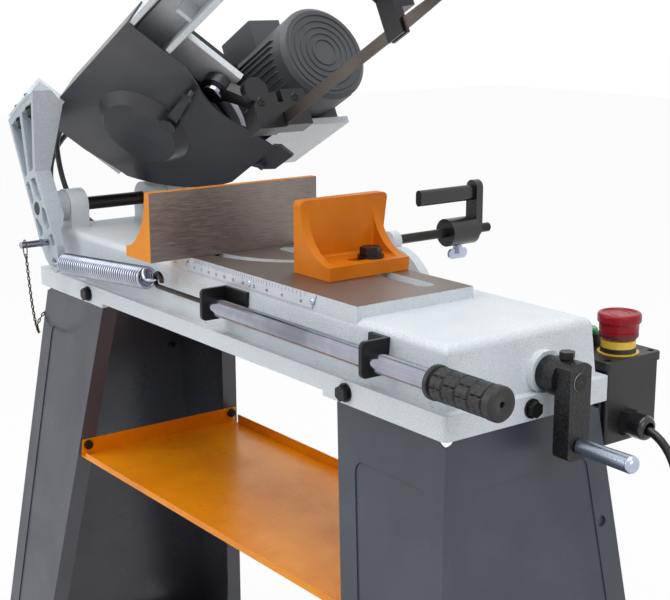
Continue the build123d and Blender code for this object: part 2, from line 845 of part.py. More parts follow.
with BuildPart() as thrust_collar:
    with BuildSketch(end(right - 3.2)):
        with Locations(screw_pos):
            Circle(15.5)
            Circle(screw_radius + 0.02, mode=Mode.SUBTRACT)
    extrude(amount=9)
thrust_collar.part.label = "thrust_collar"

handle_z = screw_pos[1] - crank_throw
handle_x = right + 35.3
with BuildPart() as crank_arm:
    with BuildSketch(end(right + 6)):
        with Locations(screw_pos):
            Circle(17)
    extrude(amount=11.5)
    with BuildSketch(end(right + 17)):
        with Locations(screw_pos):
            Circle(17)
            Rectangle(25, 40, mode=Mode.INTERSECT)
        with Locations((screw_pos[0], (screw_pos[1] + handle_z - 12.5) / 2)):
            Rectangle(25, screw_pos[1] - handle_z + 12.5)
    extrude(amount=17.5)
    fillet(crank_arm.edges().filter_by(Axis.X).group_by(Axis.Z)[0], 5)
    with BuildSketch(end(right)):
        with Locations(screw_pos):
            Circle(screw_radius + 0.02)
    extrude(amount=40, mode=Mode.SUBTRACT)
    with BuildSketch(end(right + 34)):
        with Locations((screw_pos[0], handle_z)):
            Circle(4)
    extrude(amount=handle_length - 6)
    with BuildSketch(level(screw_pos[1] + screw_radius)):
        with Locations((right + 18, screw_pos[0])):
            Circle(3.5 + run_gap)
    extrude(amount=20, mode=Mode.SUBTRACT)
crank_arm.part.label = "crank_arm"

with BuildPart() as crank_handle:
    with BuildSketch(Plane(origin=(handle_x, screw_pos[0], handle_z), x_dir=(1, 0, 0), z_dir=(0, -1, 0))):
        with BuildLine():
            Polyline((0, 4 + run_gap), (0, 6.2), (1, 6.8), (handle_length - 6, 7.6))
            ThreePointArc((handle_length - 6, 7.6), (handle_length - 1.5, 6.2), (handle_length, 3))
            Polyline((handle_length, 3), (handle_length, 0), (handle_length - 4, 0))
            Polyline((handle_length - 4, 0), (handle_length - 4, 4 + run_gap), (0, 4 + run_gap))
        make_face()
    revolve(axis=Axis((0, screw_pos[0], handle_z), (1, 0, 0)))
crank_handle.part.label = "crank_handle"

with BuildPart() as thumb_screw:
    with BuildSketch(level(screw_pos[1] + screw_radius + 0.4)):
        with Locations((right + 18, screw_pos[0])):
            Circle(3.5)
    extrude(amount=9)
    with BuildSketch(level(screw_pos[1] + 17.2)):
        with Locations((right + 18, screw_pos[0])):
            RegularPolygon(6.8, 6)
    extrude(amount=6)
thumb_screw.part.label = "thumb_screw"

bolt_x = movable_x + 38
with BuildPart() as vise_nut:
    with BuildSketch(level(base + 20)):
        with Locations((bolt_x, screw_pos[0])):
            Rectangle(32, 28)
    extrude(amount=hood_height - table_plate - 20 - slide_gap)
    with BuildSketch(level(base + 20)):
        with Locations((bolt_x, screw_pos[0])):
            Rectangle(28, slot_width - 2 * slide_gap)
    extrude(amount=table_height - 21)
    with BuildSketch(end(bolt_x)):
        with Locations(screw_pos):
            Circle(screw_radius + run_gap)
    extrude(amount=30, both=True, mode=Mode.SUBTRACT)
    with BuildSketch(level(base + 90)):
        with Locations((bolt_x, screw_pos[0])):
            Circle(jaw_bolt_radius + run_gap)
    extrude(amount=-40, mode=Mode.SUBTRACT)
vise_nut.part.label = "vise_nut"

# Movable jaw
movable_front = front + 53
foot_depth = 58.0
foot_height = 13.0
with BuildPart() as movable_jaw:
    with BuildSketch(level(table + slide_gap)):
        with Locations((movable_x + foot_depth / 2, movable_front + movable_length / 2)):
            Rectangle(foot_depth, movable_length)
    extrude(amount=foot_height)
    with BuildSketch(end(movable_x)):
        with BuildLine():
            Polyline(
                (movable_front, table + slide_gap),
                (movable_front + movable_length, table + slide_gap),
                (movable_front + movable_length + 10, table + jaw_height),
                (movable_front, table + jaw_height),
                close=True,
            )
        make_face()
        fillet(vertices().sort_by(Axis.Y)[2:4], 5)
    extrude(amount=12)
    # Curved gussets at both ends
    for y in (movable_front + 9, movable_front + movable_length):
        with BuildSketch(side(y)):
            with BuildLine():
                ThreePointArc(
                    (movable_x + 12, table + jaw_height - 6),
                    (movable_x + 24, table + 30),
                    (movable_x + foot_depth - 2, table + foot_height),
                )
                Polyline(
                    (movable_x + foot_depth - 2, table + foot_height),
                    (movable_x + 4, table + foot_height - 2),
                    (movable_x + 4, table + jaw_height - 6),
                    (movable_x + 12, table + jaw_height - 6),
                )
            make_face()
        extrude(amount=9)
    # Rounded inner corners of the casting
    inside = movable_jaw.edges().filter_by(GeomType.LINE)
    inside = inside.filter_by_position(Axis.X, movable_x + 11.9, movable_x + 40)
    inside = inside.filter_by_position(Axis.Y, movable_front + 8.9, movable_front + movable_length - 8.9)
    fillet(inside.filter_by_position(Axis.Z, table + 10, table + jaw_height - 10), 3)
    with BuildSketch(level(table - 1)):
        with Locations((bolt_x, front + screw_y - 8)):
            SlotOverall(38, 2 * jaw_bolt_radius + 1, rotation=90)
    extrude(amount=30, mode=Mode.SUBTRACT)
movable_jaw.part.label = "movable_jaw"

with BuildPart() as jaw_bolt:
    with BuildSketch(level(table + foot_height + slide_gap + 0.1)):
        with Locations((bolt_x, screw_pos[0])):
            Circle(13)
    extrude(amount=2.5)
    with BuildSketch(level(table + foot_height + slide_gap + 2.6)):
        with Locations((bolt_x, screw_pos[0])):
            RegularPolygon(11, 6)
    extrude(amount=8)
    with BuildSketch(level(table + foot_height + slide_gap + 1)):
        with Locations((bolt_x, screw_pos[0])):
            Circle(jaw_bolt_radius)
    extrude(amount=-foot_height - 26)
jaw_bolt.part.label = "jaw_bolt"

# Fixed jaw, swivelling about a bolt near its rear end
foot_back = jaw_face_x - 51
with BuildPart() as fixed_jaw:
    with BuildSketch(side(front + jaw_rear)):
        with BuildLine():
            Polyline(
                (foot_back, table + slide_gap),
                (jaw_face_x, table + slide_gap),
                (jaw_face_x, table + jaw_height),
                (jaw_face_x - 9, table + jaw_height),
                (jaw_face_x - 10, table + jaw_height - 10),
            )
            ThreePointArc(
                (jaw_face_x - 10, table + jaw_height - 10),
                (jaw_face_x - 19, table + 33),
                (foot_back + 10, table + 13),
            )
            Polyline((foot_back + 10, table + 13), (foot_back, table + 11), (foot_back, table + slide_gap))
        make_face()
    extrude(amount=jaw_rear - jaw_front)
    with BuildSketch(level(table)):
        with Locations((foot_back + 10, front + jaw_rear - 15)):
            Rectangle(44, 44)
    extrude(amount=40, mode=Mode.SUBTRACT)
    with BuildSketch(level(table)):
        with Locations((jaw_pivot_x, jaw_pivot_y), (jaw_pivot_x, jaw_pivot_y - mitre_radius)):
            Circle(jaw_bolt_radius)
    extrude(amount=20, mode=Mode.SUBTRACT)
fixed_jaw.part.label = "fixed_jaw"

with BuildPart() as fixed_jaw_bolts:
    for y in (jaw_pivot_y, jaw_pivot_y - mitre_radius):
        under = base + hood_height - body_wall
        with BuildSketch(level(under - slide_gap)):
            with Locations((jaw_pivot_x, y)):
                RegularPolygon(9.5, 6)
        extrude(amount=-8)
        with BuildSketch(level(under - 1)):
            with Locations((jaw_pivot_x, y)):
                Circle(jaw_bolt_radius - 0.02)
        extrude(amount=table + 19 - under)
fixed_jaw_bolts.part.label = "fixed_jaw_bolts"

# Feed adjuster: tube with threaded bush, grip, hooked rod
tube_left = right - 347
grip_left = right - 7
grip_right = right + 69
grip_length = grip_right - grip_left
with BuildPart() as adjuster_tube:
    with BuildSketch(end(tube_left)):
        with Locations(tube_pos):
            Circle(tube_radius)
    extrude(amount=grip_left + grip_length - 16.5 - tube_left)
    with BuildSketch(end(tube_left)):
        with Locations(tube_pos):
            Circle(rod_radius + run_gap)
    extrude(amount=14, mode=Mode.SUBTRACT)
    with BuildSketch(end(tube_left + 14)):
        with Locations(tube_pos):
            Circle(6.5)
    extrude(amount=120, mode=Mode.SUBTRACT)
adjuster_tube.part.label = "adjuster_tube"

with BuildPart() as adjuster_grip:
    with BuildSketch(Plane(origin=(grip_left, tube_pos[0], tube_pos[1]), x_dir=(1, 0, 0), z_dir=(0, -1, 0))):
        with BuildLine():
            Polyline(
                (0, tube_radius + 0.02), (0, 14.9), (4, 14.9), (4, 13.4), (grip_length - 6.5, 13.4),
                (grip_length - 6.5, 14.4), (grip_length - 2.5, 14.4),
            )
            ThreePointArc((grip_length - 2.5, 14.4), (grip_length - 0.5, 13.6), (grip_length, 12))
            Polyline(
                (grip_length, 12), (grip_length, 0), (grip_length - 16.2, 0),
                (grip_length - 16.2, tube_radius + 0.02), (0, tube_radius + 0.02),
            )
        make_face()
    revolve(axis=Axis((0, tube_pos[0], tube_pos[1]), (1, 0, 0)))
adjuster_grip.part.label = "adjuster_grip"

eye_x = right - 449
eye_radius = 7.0
with BuildPart() as spring_rod:
    with BuildLine():
        rod_line = Line((tube_left + 90, tube_pos[0], tube_pos[1]), (eye_x, tube_pos[0], tube_pos[1]))
        rod_curl = ThreePointArc(
            (eye_x, tube_pos[0], tube_pos[1]),
            (eye_x - eye_radius, tube_pos[0], tube_pos[1] + eye_radius),
            (eye_x, tube_pos[0], tube_pos[1] + 2 * eye_radius),
        )
        rod_tip = ThreePointArc(
            (eye_x, tube_pos[0], tube_pos[1] + 2 * eye_radius),
            (
                eye_x + eye_radius * sin(radians(50)),
                tube_pos[0],
                tube_pos[1] + eye_radius * (1 + cos(radians(50))),
            ),
            (
                eye_x + eye_radius * sin(radians(100)),
                tube_pos[0],
                tube_pos[1] + eye_radius * (1 + cos(radians(100))),
            ),
        )
    with BuildSketch(Plane(origin=rod_line @ 0, z_dir=(-1, 0, 0))):
        Circle(rod_radius)
    sweep()
spring_rod.part.label = "spring_rod"

# Feed spring from the arm's hole to the rod's eye, with a hook at each end
arm_hole = (9.1, -71.3)
arm_front_y = front - 16.5
arm_low_back_y = front - 7.0
hole_radius = 5.8
hole_point = bow.from_local_coords((arm_hole[0], arm_hole[1], 0))
spring_start = Vector(hole_point.X + 1.2, (arm_front_y + arm_low_back_y) / 2, hole_point.Z)
spring_end = Vector(eye_x - eye_radius + rod_radius + wire_radius + 0.6, tube_pos[0], tube_pos[1] + eye_radius)
spring_axis = (spring_end - spring_start).normalized()
spring_span = (spring_end - spring_start).length
spring_frame = Plane(origin=spring_start, x_dir=(0, -1, 0), z_dir=spring_axis)
hook = 20.0
ring = 8.0
coil_length = spring_span - 2 * hook
spring_turns = int(coil_length / spring_pitch)
pitch = coil_length / spring_turns


def coil_place(turn):
    """Point and direction of the coil after a number of turns, in the spring's frame."""
    a = 2 * pi * turn
    point = Vector(spring_radius * sin(a), -spring_radius * cos(a), hook + pitch * turn)
    along = Vector(spring_radius * cos(a), spring_radius * sin(a), pitch / (2 * pi))
    return point, along.normalized()


def biarc(p, t, q, v):
    """Two tangent arcs from a point and direction to another point and direction."""
    d = q - p
    both = t + v
    flat = 2 * (1 - t.dot(v))
    if flat < 1e-9:
        reach = d.dot(d) / (4 * d.dot(v))
    else:
        reach = (-d.dot(both) + (d.dot(both) ** 2 + flat * d.dot(d)) ** 0.5) / flat
    a = p + t * reach
    b = q - v * reach
    mid = (a + b) * 0.5
    return [Edge.make_tangent_arc(p, t, mid), Edge.make_tangent_arc(mid, (b - a).normalized(), q)]


far = spring_span
spring_places = [
    (Vector(ring, 0, ring), Vector(0, 0, -1)),
    (Vector(0, 0, 0), Vector(-1, 0, 0)),
    (Vector(-ring, 0, ring), Vector(0, 0, 1)),
]
spring_places += [coil_place(k / 2) for k in range(2 * spring_turns + 1)]
spring_places += [
    (Vector(ring, 0, far - ring), Vector(0, 0, 1)),
    (Vector(0, 0, far), Vector(-1, 0, 0)),
    (Vector(-ring, 0, far - ring), Vector(0, 0, -1)),
]
spring_edges = []
for (p, t), (q, v) in zip(spring_places, spring_places[1:]):
    start = spring_frame.from_local_coords(p)
    stop = spring_frame.from_local_coords(q)
    start_dir = spring_frame.from_local_coords(t) - spring_frame.origin
    stop_dir = spring_frame.from_local_coords(v) - spring_frame.origin
    spring_edges += biarc(start, start_dir, stop, stop_dir)
spring_wire = Wire(spring_edges)

with BuildPart() as feed_spring:
    with BuildLine():
        add(spring_wire)
    with BuildSketch(Plane(origin=spring_edges[0] @ 0, z_dir=spring_edges[0] % 0)):
        RegularPolygon(wire_radius, 6)
    sweep(clean=False)
feed_spring.part.label = "feed_spring"
wire_area = 1.5 * 3**0.5 * wire_radius**2
print("spring turns", spring_turns, "pitch", round(pitch, 3))
print("spring self gap", round(self_gap(spring_wire, wire_radius, 1600), 2))
print("spring volume ratio", round(feed_spring.part.volume / (wire_area * spring_wire.length), 4))

# Bow pivot and front arm
arm_back_y = front + 3.5
rear_boss = (front + 152.5, front + 190)
with BuildPart() as pivot_shaft:
    with BuildSketch(bow_side(rear_boss[1])):
        Circle(pivot_radius)
    extrude(amount=rear_boss[1] - arm_front_y)
    chamfer(pivot_shaft.faces().sort_by(Axis.Y)[0].edges(), 0.8)
pivot_shaft.part.label = "pivot_shaft"

arm_left = -15.0
arm_ridge = (front - 4.5, 132.7)
arm_shoulder = (front + 21.5, 106.7)
lock_hole = (7.0, -45.0)
arm_screw_xs = (10.0, 43.0)
arm_screw_y = front - 10.5
arm_screw_head = 7.0
arm_screw_seat = 112.0
with BuildPart() as front_arm:
    with BuildSketch(bow_side(arm_shoulder[0])):
        with BuildLine():
            Polyline(
                (arm_left, 140), (arm_left, -36), (-11, -60), (2, -82), (14, -83), (19, -77), (27, -57),
                (25.4, -35), (24.8, -7), (21.2, 39), (50, 88), (69, 121), (69, 140), close=True,
            )
        make_face()
    extrude(amount=arm_shoulder[0] - arm_front_y)
    # Roof, leaning back and thin foot, seen along the bow
    with BuildSketch(bow_cross(0)):
        with BuildLine():
            Polyline(
                (arm_front_y - 1, -100), (arm_front_y - 1, arm_ridge[1] - arm_ridge[0] + arm_front_y - 1),
                arm_ridge, arm_shoulder, (arm_back_y, 40), (arm_back_y, -20), (arm_low_back_y, -40),
                (arm_low_back_y, -100), close=True,
            )
        make_face()
    extrude(amount=120, both=True, mode=Mode.INTERSECT)
    # Pockets between the ribs of the front face
    with BuildSketch(bow_side(arm_front_y)):
        with BuildLine():
            Polyline((5, 44), (16.5, 44), (45, 91), (57, arm_screw_seat), (26, arm_screw_seat), close=True)
        make_face()
        with BuildLine():
            Polyline((-10, 44), (-2.5, 44), (18.5, arm_screw_seat), (-10, arm_screw_seat), close=True)
        make_face()
    extrude(amount=-13.5, mode=Mode.SUBTRACT)
    with BuildSketch(bow_side(arm_front_y)):
        for corners in (
            ((-11.5, 35), (-3, 37), (-2.5, 13.5), (-7, 9), (-11.5, 9)),
            ((3.5, 36), (16, 34), (19, 5), (12.5, 4), (5, 14)),
            ((-11, -10), (-7, -10), (1, -25), (-3, -32), (-10, -33)),
            ((13, -3), (20.5, -8), (21, -30), (12, -32), (7, -18)),
            ((14, -39), (22, -39), (23, -53), (14, -53)),
        ):
            with BuildLine():
                Polyline(*corners, close=True)
            make_face()
    extrude(amount=-5, mode=Mode.SUBTRACT)
    # Boss that runs against the bed lug
    with BuildSketch(bow_side(front_lug[0] - 0.3)):
        Circle(18.5)
    extrude(amount=front_lug[0] - 0.3 - arm_back_y + 1)
    with BuildSketch(bow_side(front_lug[1])):
        Circle(pivot_radius + 0.02)
        with Locations(arm_hole):
            Circle(hole_radius)
        with Locations(lock_hole):
            Circle(4 + run_gap)
    extrude(amount=80, mode=Mode.SUBTRACT)
    # Room for the heads of the two screws that hold the bow, and their holes
    with BuildSketch(Plane(origin=bow.from_local_coords((0, arm_screw_seat, 0)), x_dir=bow.x_dir, z_dir=bow.y_dir)):
        with Locations([(x, arm_screw_y) for x in arm_screw_xs]):
            Circle(arm_screw_head + 1)
    extrude(amount=-13, mode=Mode.SUBTRACT)
    with BuildSketch(Plane(origin=bow.from_local_coords((0, arm_screw_seat, 0)), x_dir=bow.x_dir, z_dir=bow.y_dir)):
        with Locations([(x, arm_screw_y) for x in arm_screw_xs]):
            Circle(5)
    extrude(amount=30, mode=Mode.SUBTRACT)
front_arm.part.label = "front_arm"

arm_screw_plane = Plane(
    origin=bow.from_local_coords((0, arm_screw_seat - 0.2, 0)), x_dir=bow.x_dir, z_dir=bow.y_dir * -1
)
with BuildPart() as arm_screws:
    for x in arm_screw_xs:
        with BuildSketch(arm_screw_plane):
            with Locations((x, -arm_screw_y)):
                Circle(arm_screw_head + 0.5)
        extrude(amount=1.6)
        with BuildSketch(arm_screw_plane):
            with Locations((x, -arm_screw_y)):
                Circle(arm_screw_head - 1)
        extrude(amount=6)
        with BuildSketch(arm_screw_plane.offset(5)):
            with Locations((x, -arm_screw_y)):
                Circle(arm_screw_head)
                RegularPolygon(4, 6, mode=Mode.SUBTRACT)
        extrude(amount=6)
        with BuildSketch(arm_screw_plane):
            with Locations((x, -arm_screw_y)):
                Circle(4.9)
        extrude(amount=-16.6)
arm_screws.part.label = "arm_screws"

# Lock pin with its ring and a short chain
with BuildPart() as lock_pin:
    with BuildSketch(bow_side(arm_low_back_y)):
        with Locations(lock_hole):
            Circle(4)
    extrude(amount=arm_low_back_y - front + 52)
    with BuildSketch(bow_side(arm_front_y - 8)):
        with Locations(lock_hole):
            Circle(4.6)
    extrude(amount=3)
    chamfer(lock_pin.faces().sort_by(Axis.Y)[0].edges(), 1)
lock_pin.part.label = "lock_pin"

# Bow casting in the plane of the blade loop
left_edge = -118.0
ridge_wh = loop.to_local_coords(bow.from_local_coords((0, arm_ridge[1], -arm_ridge[0])))
saddle_u = (arm_left + 9 - wheel_u, 59 - wheel_u)
post_uw = (118.0, -16.0)
rail_u = (110.0, wheel_distance - 100.0)
motor_y = front + 268
motor_z = 72.0
shelf_top = motor_z - motor_radius - 4
gear_shaft_wh = (36.0, -78.0)
gear_axis = loop.from_local_coords((0, gear_shaft_wh[0], gear_shaft_wh[1]))
gear_local = bow.to_local_coords(gear_axis)
gear_y = -gear_local.Z
gear_z = gear_local.Y

with BuildPart() as bow_casting:
    # Back plate: drive housing, beam and idler housing
    with BuildSketch(loop.offset(plate_back)):
        Circle(housing_radius)
        with Locations((left_edge / 2, (housing_radius - 10) / 2)):
            Rectangle(-left_edge, housing_radius + 10)
        with Locations((70, (housing_radius - 31) / 2)):
            Rectangle(140, housing_radius + 31)
        with Locations((wheel_distance / 2, (housing_radius + beam_low) / 2)):
            Rectangle(wheel_distance, housing_radius - beam_low)
        with Locations((wheel_distance, 0)):
            Circle(housing_radius)
    extrude(amount=plate_front - plate_back)
    # Rim wall round the outside
    with BuildSketch(loop.offset(plate_back)):
        Circle(housing_radius)
        with Locations((left_edge / 2, (housing_radius - 10) / 2)):
            Rectangle(-left_edge, housing_radius + 10)
        with Locations((wheel_distance / 2, (housing_radius + beam_low) / 2)):
            Rectangle(wheel_distance, housing_radius - beam_low)
        with Locations((wheel_distance, 0)):
            Circle(housing_radius)
        Circle(housing_radius - rim_wall, mode=Mode.SUBTRACT)
        with Locations((left_edge / 2 + rim_wall / 2, (housing_radius - 10) / 2)):
            Rectangle(-left_edge - rim_wall, housing_radius + 10 - 2 * rim_wall, mode=Mode.SUBTRACT)
        with Locations((wheel_distance / 2, (housing_radius + beam_low) / 2)):
            Rectangle(wheel_distance, housing_radius - beam_low - 2 * rim_wall, mode=Mode.SUBTRACT)
        with Locations((wheel_distance, 0), (wheel_distance - tension_travel, 0)):
            Circle(housing_radius - rim_wall, mode=Mode.SUBTRACT)
        with Locations((wheel_distance / 2, -housing_radius / 2 + beam_low / 2 - 1)):
            Rectangle(wheel_distance - 20, housing_radius + beam_low - 2, mode=Mode.SUBTRACT)
    extrude(amount=rim_front - plate_back)
    # Ribs across the beam's channel
    with BuildSketch(loop.offset(plate_front)):
        for u in (190, 262, 334):
            with Locations((u, beam_low + 14)):
                Rectangle(6, 22)
    extrude(amount=20)
    # Saddle over the ridge of the front arm
    with BuildSketch(loop_cross(saddle_u[0])):
        with Locations(((98.5 + ridge_wh.Y + 3.2) / 2, ridge_wh.Z - 5)):
            Rectangle(ridge_wh.Y + 3.2 - 98.5, 9.6)
        with Locations((ridge_wh.Y + 1.7, ridge_wh.Z + 5.5)):
            Rectangle(3, 23)
    extrude(amount=saddle_u[1] - saddle_u[0])
    # Boss of the drive shaft and guide rail of the tension block behind the plate
    with BuildSketch(loop.offset(plate_back - 18)):
        Circle(26)
    extrude(amount=20)
    with BuildSketch(loop.offset(plate_back - 16)):
        with Locations((wheel_distance + 10, 29), (wheel_distance + 10, -29)):
            Rectangle(110, 9)
        with Locations((wheel_distance + 100, 0)):
            Rectangle(16, 67)
    extrude(amount=17)
    # Rail of the adjustable guide under the beam
    with BuildSketch(loop.offset(plate_back)):
        with Locations(((rail_u[0] + rail_u[1]) / 2, beam_low - 2)):
            Rectangle(rail_u[1] - rail_u[0], 8)
    extrude(amount=8)
    # Rear pivot boss with its web
    with BuildSketch(bow_side(rear_boss[1])):
        Circle(19)
        with BuildLine():
            Polyline((-10, -16), (14, -12), (40, 10), (78, 22), (78, 46), (4, 20), close=True)
        make_face()
    extrude(amount=14)
    with BuildSketch(bow_side(rear_boss[1])):
        Circle(19)
    extrude(amount=rear_boss[1] - rear_boss[0])
    # Motor shelf at the rear
    with BuildSketch(bow_side(motor_y + 46)):
        with Locations((140, shelf_top - 4)):
            Rectangle(130, 8)
    extrude(amount=motor_y + 46 - front - 186)
    # Bores
    with BuildSketch(loop):
        Circle(axle_radius + run_gap)
    extrude(amount=60, both=True, mode=Mode.SUBTRACT)
    with BuildSketch(loop):
        with Locations((wheel_distance - 4, 0)):
            SlotOverall(2 * axle_radius + 22, 2 * axle_radius + 2)
    extrude(amount=-34, mode=Mode.SUBTRACT)
    with BuildSketch(bow_side(front + 240)):
        Circle(pivot_radius + 0.02)
    extrude(amount=100, mode=Mode.SUBTRACT)
    with BuildSketch(loop_cross(wheel_distance + 80)):
        with Locations((0, plate_back - 8)):
            Circle(6 + run_gap)
    extrude(amount=40, mode=Mode.SUBTRACT)
    with BuildSketch(Plane(origin=bow.from_local_coords((0, arm_screw_seat, 0)), x_dir=bow.x_dir, z_dir=bow.y_dir)):
        with Locations([(x, arm_screw_y) for x in arm_screw_xs]):
            Circle(5)
    extrude(amount=17, mode=Mode.SUBTRACT)
    # Rim set back where the cover curves round the drive wheel
    with BuildSketch(loop.offset(6)):
        with BuildLine():
            Polyline((left_edge - 12, -8), (-104.7, -16.4))
            ThreePointArc((-104.7, -16.4), (-60.2, -65), (22.4, -105.4))
            Polyline((22.4, -105.4), (40, -125), (left_edge - 12, -125), (left_edge - 12, -8))
        make_face()
    extrude(amount=20, mode=Mode.SUBTRACT)
    # Flat that clears the hood of the bed when the bow is down
    with BuildSketch(bow_side(rear)):
        with Locations((wheel_u + wheel_distance + 10, blade_drop - 36)):
            Rectangle(220, 60)
    extrude(amount=bed_width + 100, both=True, mode=Mode.SUBTRACT)
bow_casting.part.label = "bow_casting"

# Covers
cover_low = rim_front + 0.1
cover_top = housing_radius + cover_sheet + 0.4
cover_back = -14.0
dish_uw = (0.0, 12.0)
with BuildPart() as wheel_cover:
    with BuildSketch(loop.offset(cover_low)):
        with BuildLine():
            Polyline((left_edge + 2, 98), (left_edge + 2, 40), (-107.5, -2), (-107, -18))
            ThreePointArc((-107, -18), (-62, -67), (21, -108))
            Polyline((21, -108), (125, -106), (122, -70))
            ThreePointArc((122, -70), (115, -24), (128, 4))
            Polyline(
                (128, 4), (140, 30), (140, cover_top), (saddle_u[1] + 0.6, cover_top), (saddle_u[1] + 0.6, 98),
                (left_edge + 2, 98),
            )
        make_face()
    extrude(amount=cover_sheet)
    # Turned edge over the top of the wheel housing
    with BuildSketch(loop.offset(cover_back)):
        with Locations(((saddle_u[1] + 0.6 + 140) / 2, cover_top - cover_sheet / 2)):
            Rectangle(140 - saddle_u[1] - 0.6, cover_sheet)
    extrude(amount=cover_low - cover_back + 0.5)
    # Turned edge along the curve
    with BuildSketch(loop.offset(9)):
        with BuildLine():
            ThreePointArc((-107, -18), (-62, -67), (21, -108))
            Polyline((21, -108), (22, -106.2))
            ThreePointArc((22, -106.2), (-60.8, -65.6), (-105.3, -17))
            Polyline((-105.3, -17), (-107, -18))
        make_face()
    extrude(amount=cover_low - 9 + 0.5)
    # Raised round boss of the cover
    with BuildSketch(loop.offset(cover_low)):
        with Locations(dish_uw):
            Circle(60)
    with BuildSketch(loop.offset(cover_low + 13)):
        with Locations(dish_uw):
            Circle(46)
    loft()
    with BuildSketch(loop.offset(cover_low - 1)):
        with Locations(dish_uw):
            Circle(57)
    with BuildSketch(loop.offset(cover_low + 11)):
        with Locations(dish_uw):
            Circle(44.5)
    loft(mode=Mode.SUBTRACT)
    # Blade guard tongue below the right end
    with BuildSketch(loop.offset(cover_low - 3.5)):
        with BuildLine():
            Polyline((60, -104), (124, -104), (132, -110), (132, -128), (92, -128), (78, -120), (66, -106), close=True)
        make_face()
    extrude(amount=3.6)
    with BuildSketch(loop.offset(cover_low)):
        with Locations((84, -113)):
            Rectangle(9, 9)
    extrude(amount=5)
    with BuildSketch(loop.offset(cover_low - 2)):
        with Locations((60, -2)):
            Circle(4 + run_gap)
    extrude(amount=20, mode=Mode.SUBTRACT)
wheel_cover.part.label = "wheel_cover"

with BuildPart() as cover_lever:
    with BuildSketch(loop.offset(cover_low + cover_sheet + 7)):
        with Locations((60, -2)):
            Circle(10)
    extrude(amount=14)
    with BuildSketch(loop.offset(cover_low + 12)):
        with BuildLine():
            Polyline((60, -9), (60, 5), (122, 10), (122, 2), close=True)
        make_face()
        with Locations((122, 6)):
            Circle(6)
    extrude(amount=8)
    with BuildSketch(loop.offset(cover_low - 1)):
        with Locations((60, -2)):
            Circle(4)
    extrude(amount=12)
cover_lever.part.label = "cover_lever"

with BuildPart() as idler_cover:
    with BuildSketch(loop.offset(cover_low)):
        with Locations((wheel_distance, 0)):
            Circle(housing_radius + 1)
        with Locations((wheel_distance - 50, 74)):
            Rectangle(130, 48)
        with Locations((wheel_distance - 70, -70)):
            Rectangle(60, 80, mode=Mode.SUBTRACT)
    extrude(amount=cover_sheet)
    with BuildSketch(loop.offset(cover_low)):
        with Locations((wheel_distance, 12)):
            Circle(60)
    with BuildSketch(loop.offset(cover_low + 13)):
        with Locations((wheel_distance, 12)):
            Circle(46)
    loft()
    with BuildSketch(loop.offset(cover_low - 1)):
        with Locations((wheel_distance, 12)):
            Circle(57)
    with BuildSketch(loop.offset(cover_low + 11)):
        with Locations((wheel_distance, 12)):
            Circle(44.5)
    loft(mode=Mode.SUBTRACT)
    with BuildSketch(bow_side(rear)):
        with Locations((wheel_u + wheel_distance + 10, blade_drop - 36)):
            Rectangle(220, 60)
    extrude(amount=bed_width + 100, both=True, mode=Mode.SUBTRACT)
idler_cover.part.label = "idler_cover"


# Wheels
def wheel_body(u, bore):
    """Flanged band wheel with a web, hub and lightening holes."""
    with BuildPart() as wheel:
        with BuildSketch(loop.offset(-7.5)):
            with Locations((u, 0)):
                Circle(wheel_radius)
                Circle(wheel_radius - 9, mode=Mode.SUBTRACT)
        extrude(amount=15)
        with BuildSketch(loop.offset(-10)):
            with Locations((u, 0)):
                Circle(wheel_radius + 3)
                Circle(wheel_radius - 9, mode=Mode.SUBTRACT)
        extrude(amount=2.6)
        with BuildSketch(loop.offset(-4)):
            with Locations((u, 0)):
                Circle(wheel_radius - 8)
                with PolarLocations(54, 5):
                    Circle(15, mode=Mode.SUBTRACT)
        extrude(amount=8)
        with BuildSketch(loop.offset(-11)):
            with Locations((u, 0)):
                Circle(24)
        extrude(amount=24)
        if bore:
            with BuildSketch(loop.offset(-20)):
                with Locations((u, 0)):
                    Circle(bore)
            extrude(amount=50, mode=Mode.SUBTRACT)
    return wheel


gearbox_front = plate_back - 18.2
with BuildPart() as drive_wheel:
    add(wheel_body(0, 0).part)
    with BuildSketch(loop.offset(gearbox_front - 34)):
        Circle(axle_radius)
    extrude(amount=34 - gearbox_front + 16)
drive_wheel.part.label = "drive_wheel"

with BuildPart() as idler_wheel:
    add(wheel_body(wheel_distance, axle_radius + run_gap).part)
idler_wheel.part.label = "idler_wheel"

# Blade: band loop with a quarter-turn twist before and after the guides
left_guide_u = 269 - wheel_u
right_guide_u = 500 - wheel_u
twist_a = (14.0, left_guide_u - 28)
twist_b = (right_guide_u + 8, wheel_distance - 14)
with BuildPart() as blade:
    with BuildSketch(loop.offset(-blade_width / 2)):
        with Locations((wheel_distance / 2, 0)):
            SlotCenterToCenter(wheel_distance, 2 * loop_radius + blade_thick)
            SlotCenterToCenter(wheel_distance, 2 * loop_radius - blade_thick, mode=Mode.SUBTRACT)
        with Locations(((twist_a[0] + twist_b[1]) / 2, -loop_radius)):
            Rectangle(twist_b[1] - twist_a[0], 20, mode=Mode.SUBTRACT)
    extrude(amount=blade_width)
    upright = bow.y_dir * -1
    for flat_u, turned_u in ((twist_a[0], twist_a[1]), (twist_b[1], twist_b[0])):
        for u, across in ((flat_u, loop_normal), (turned_u, upright)):
            spot = loop.from_local_coords((u, -loop_radius, 0))
            with BuildSketch(Plane(origin=spot, x_dir=across, z_dir=bow.x_dir)):
                Rectangle(blade_width, blade_thick)
        loft(ruled=True)
    with BuildSketch(
        Plane(origin=loop.from_local_coords((twist_a[1], -loop_radius, 0)), x_dir=upright, z_dir=bow.x_dir)
    ):
        Rectangle(blade_width, blade_thick)
    extrude(amount=twist_b[0] - twist_a[1])
blade.part.label = "blade"

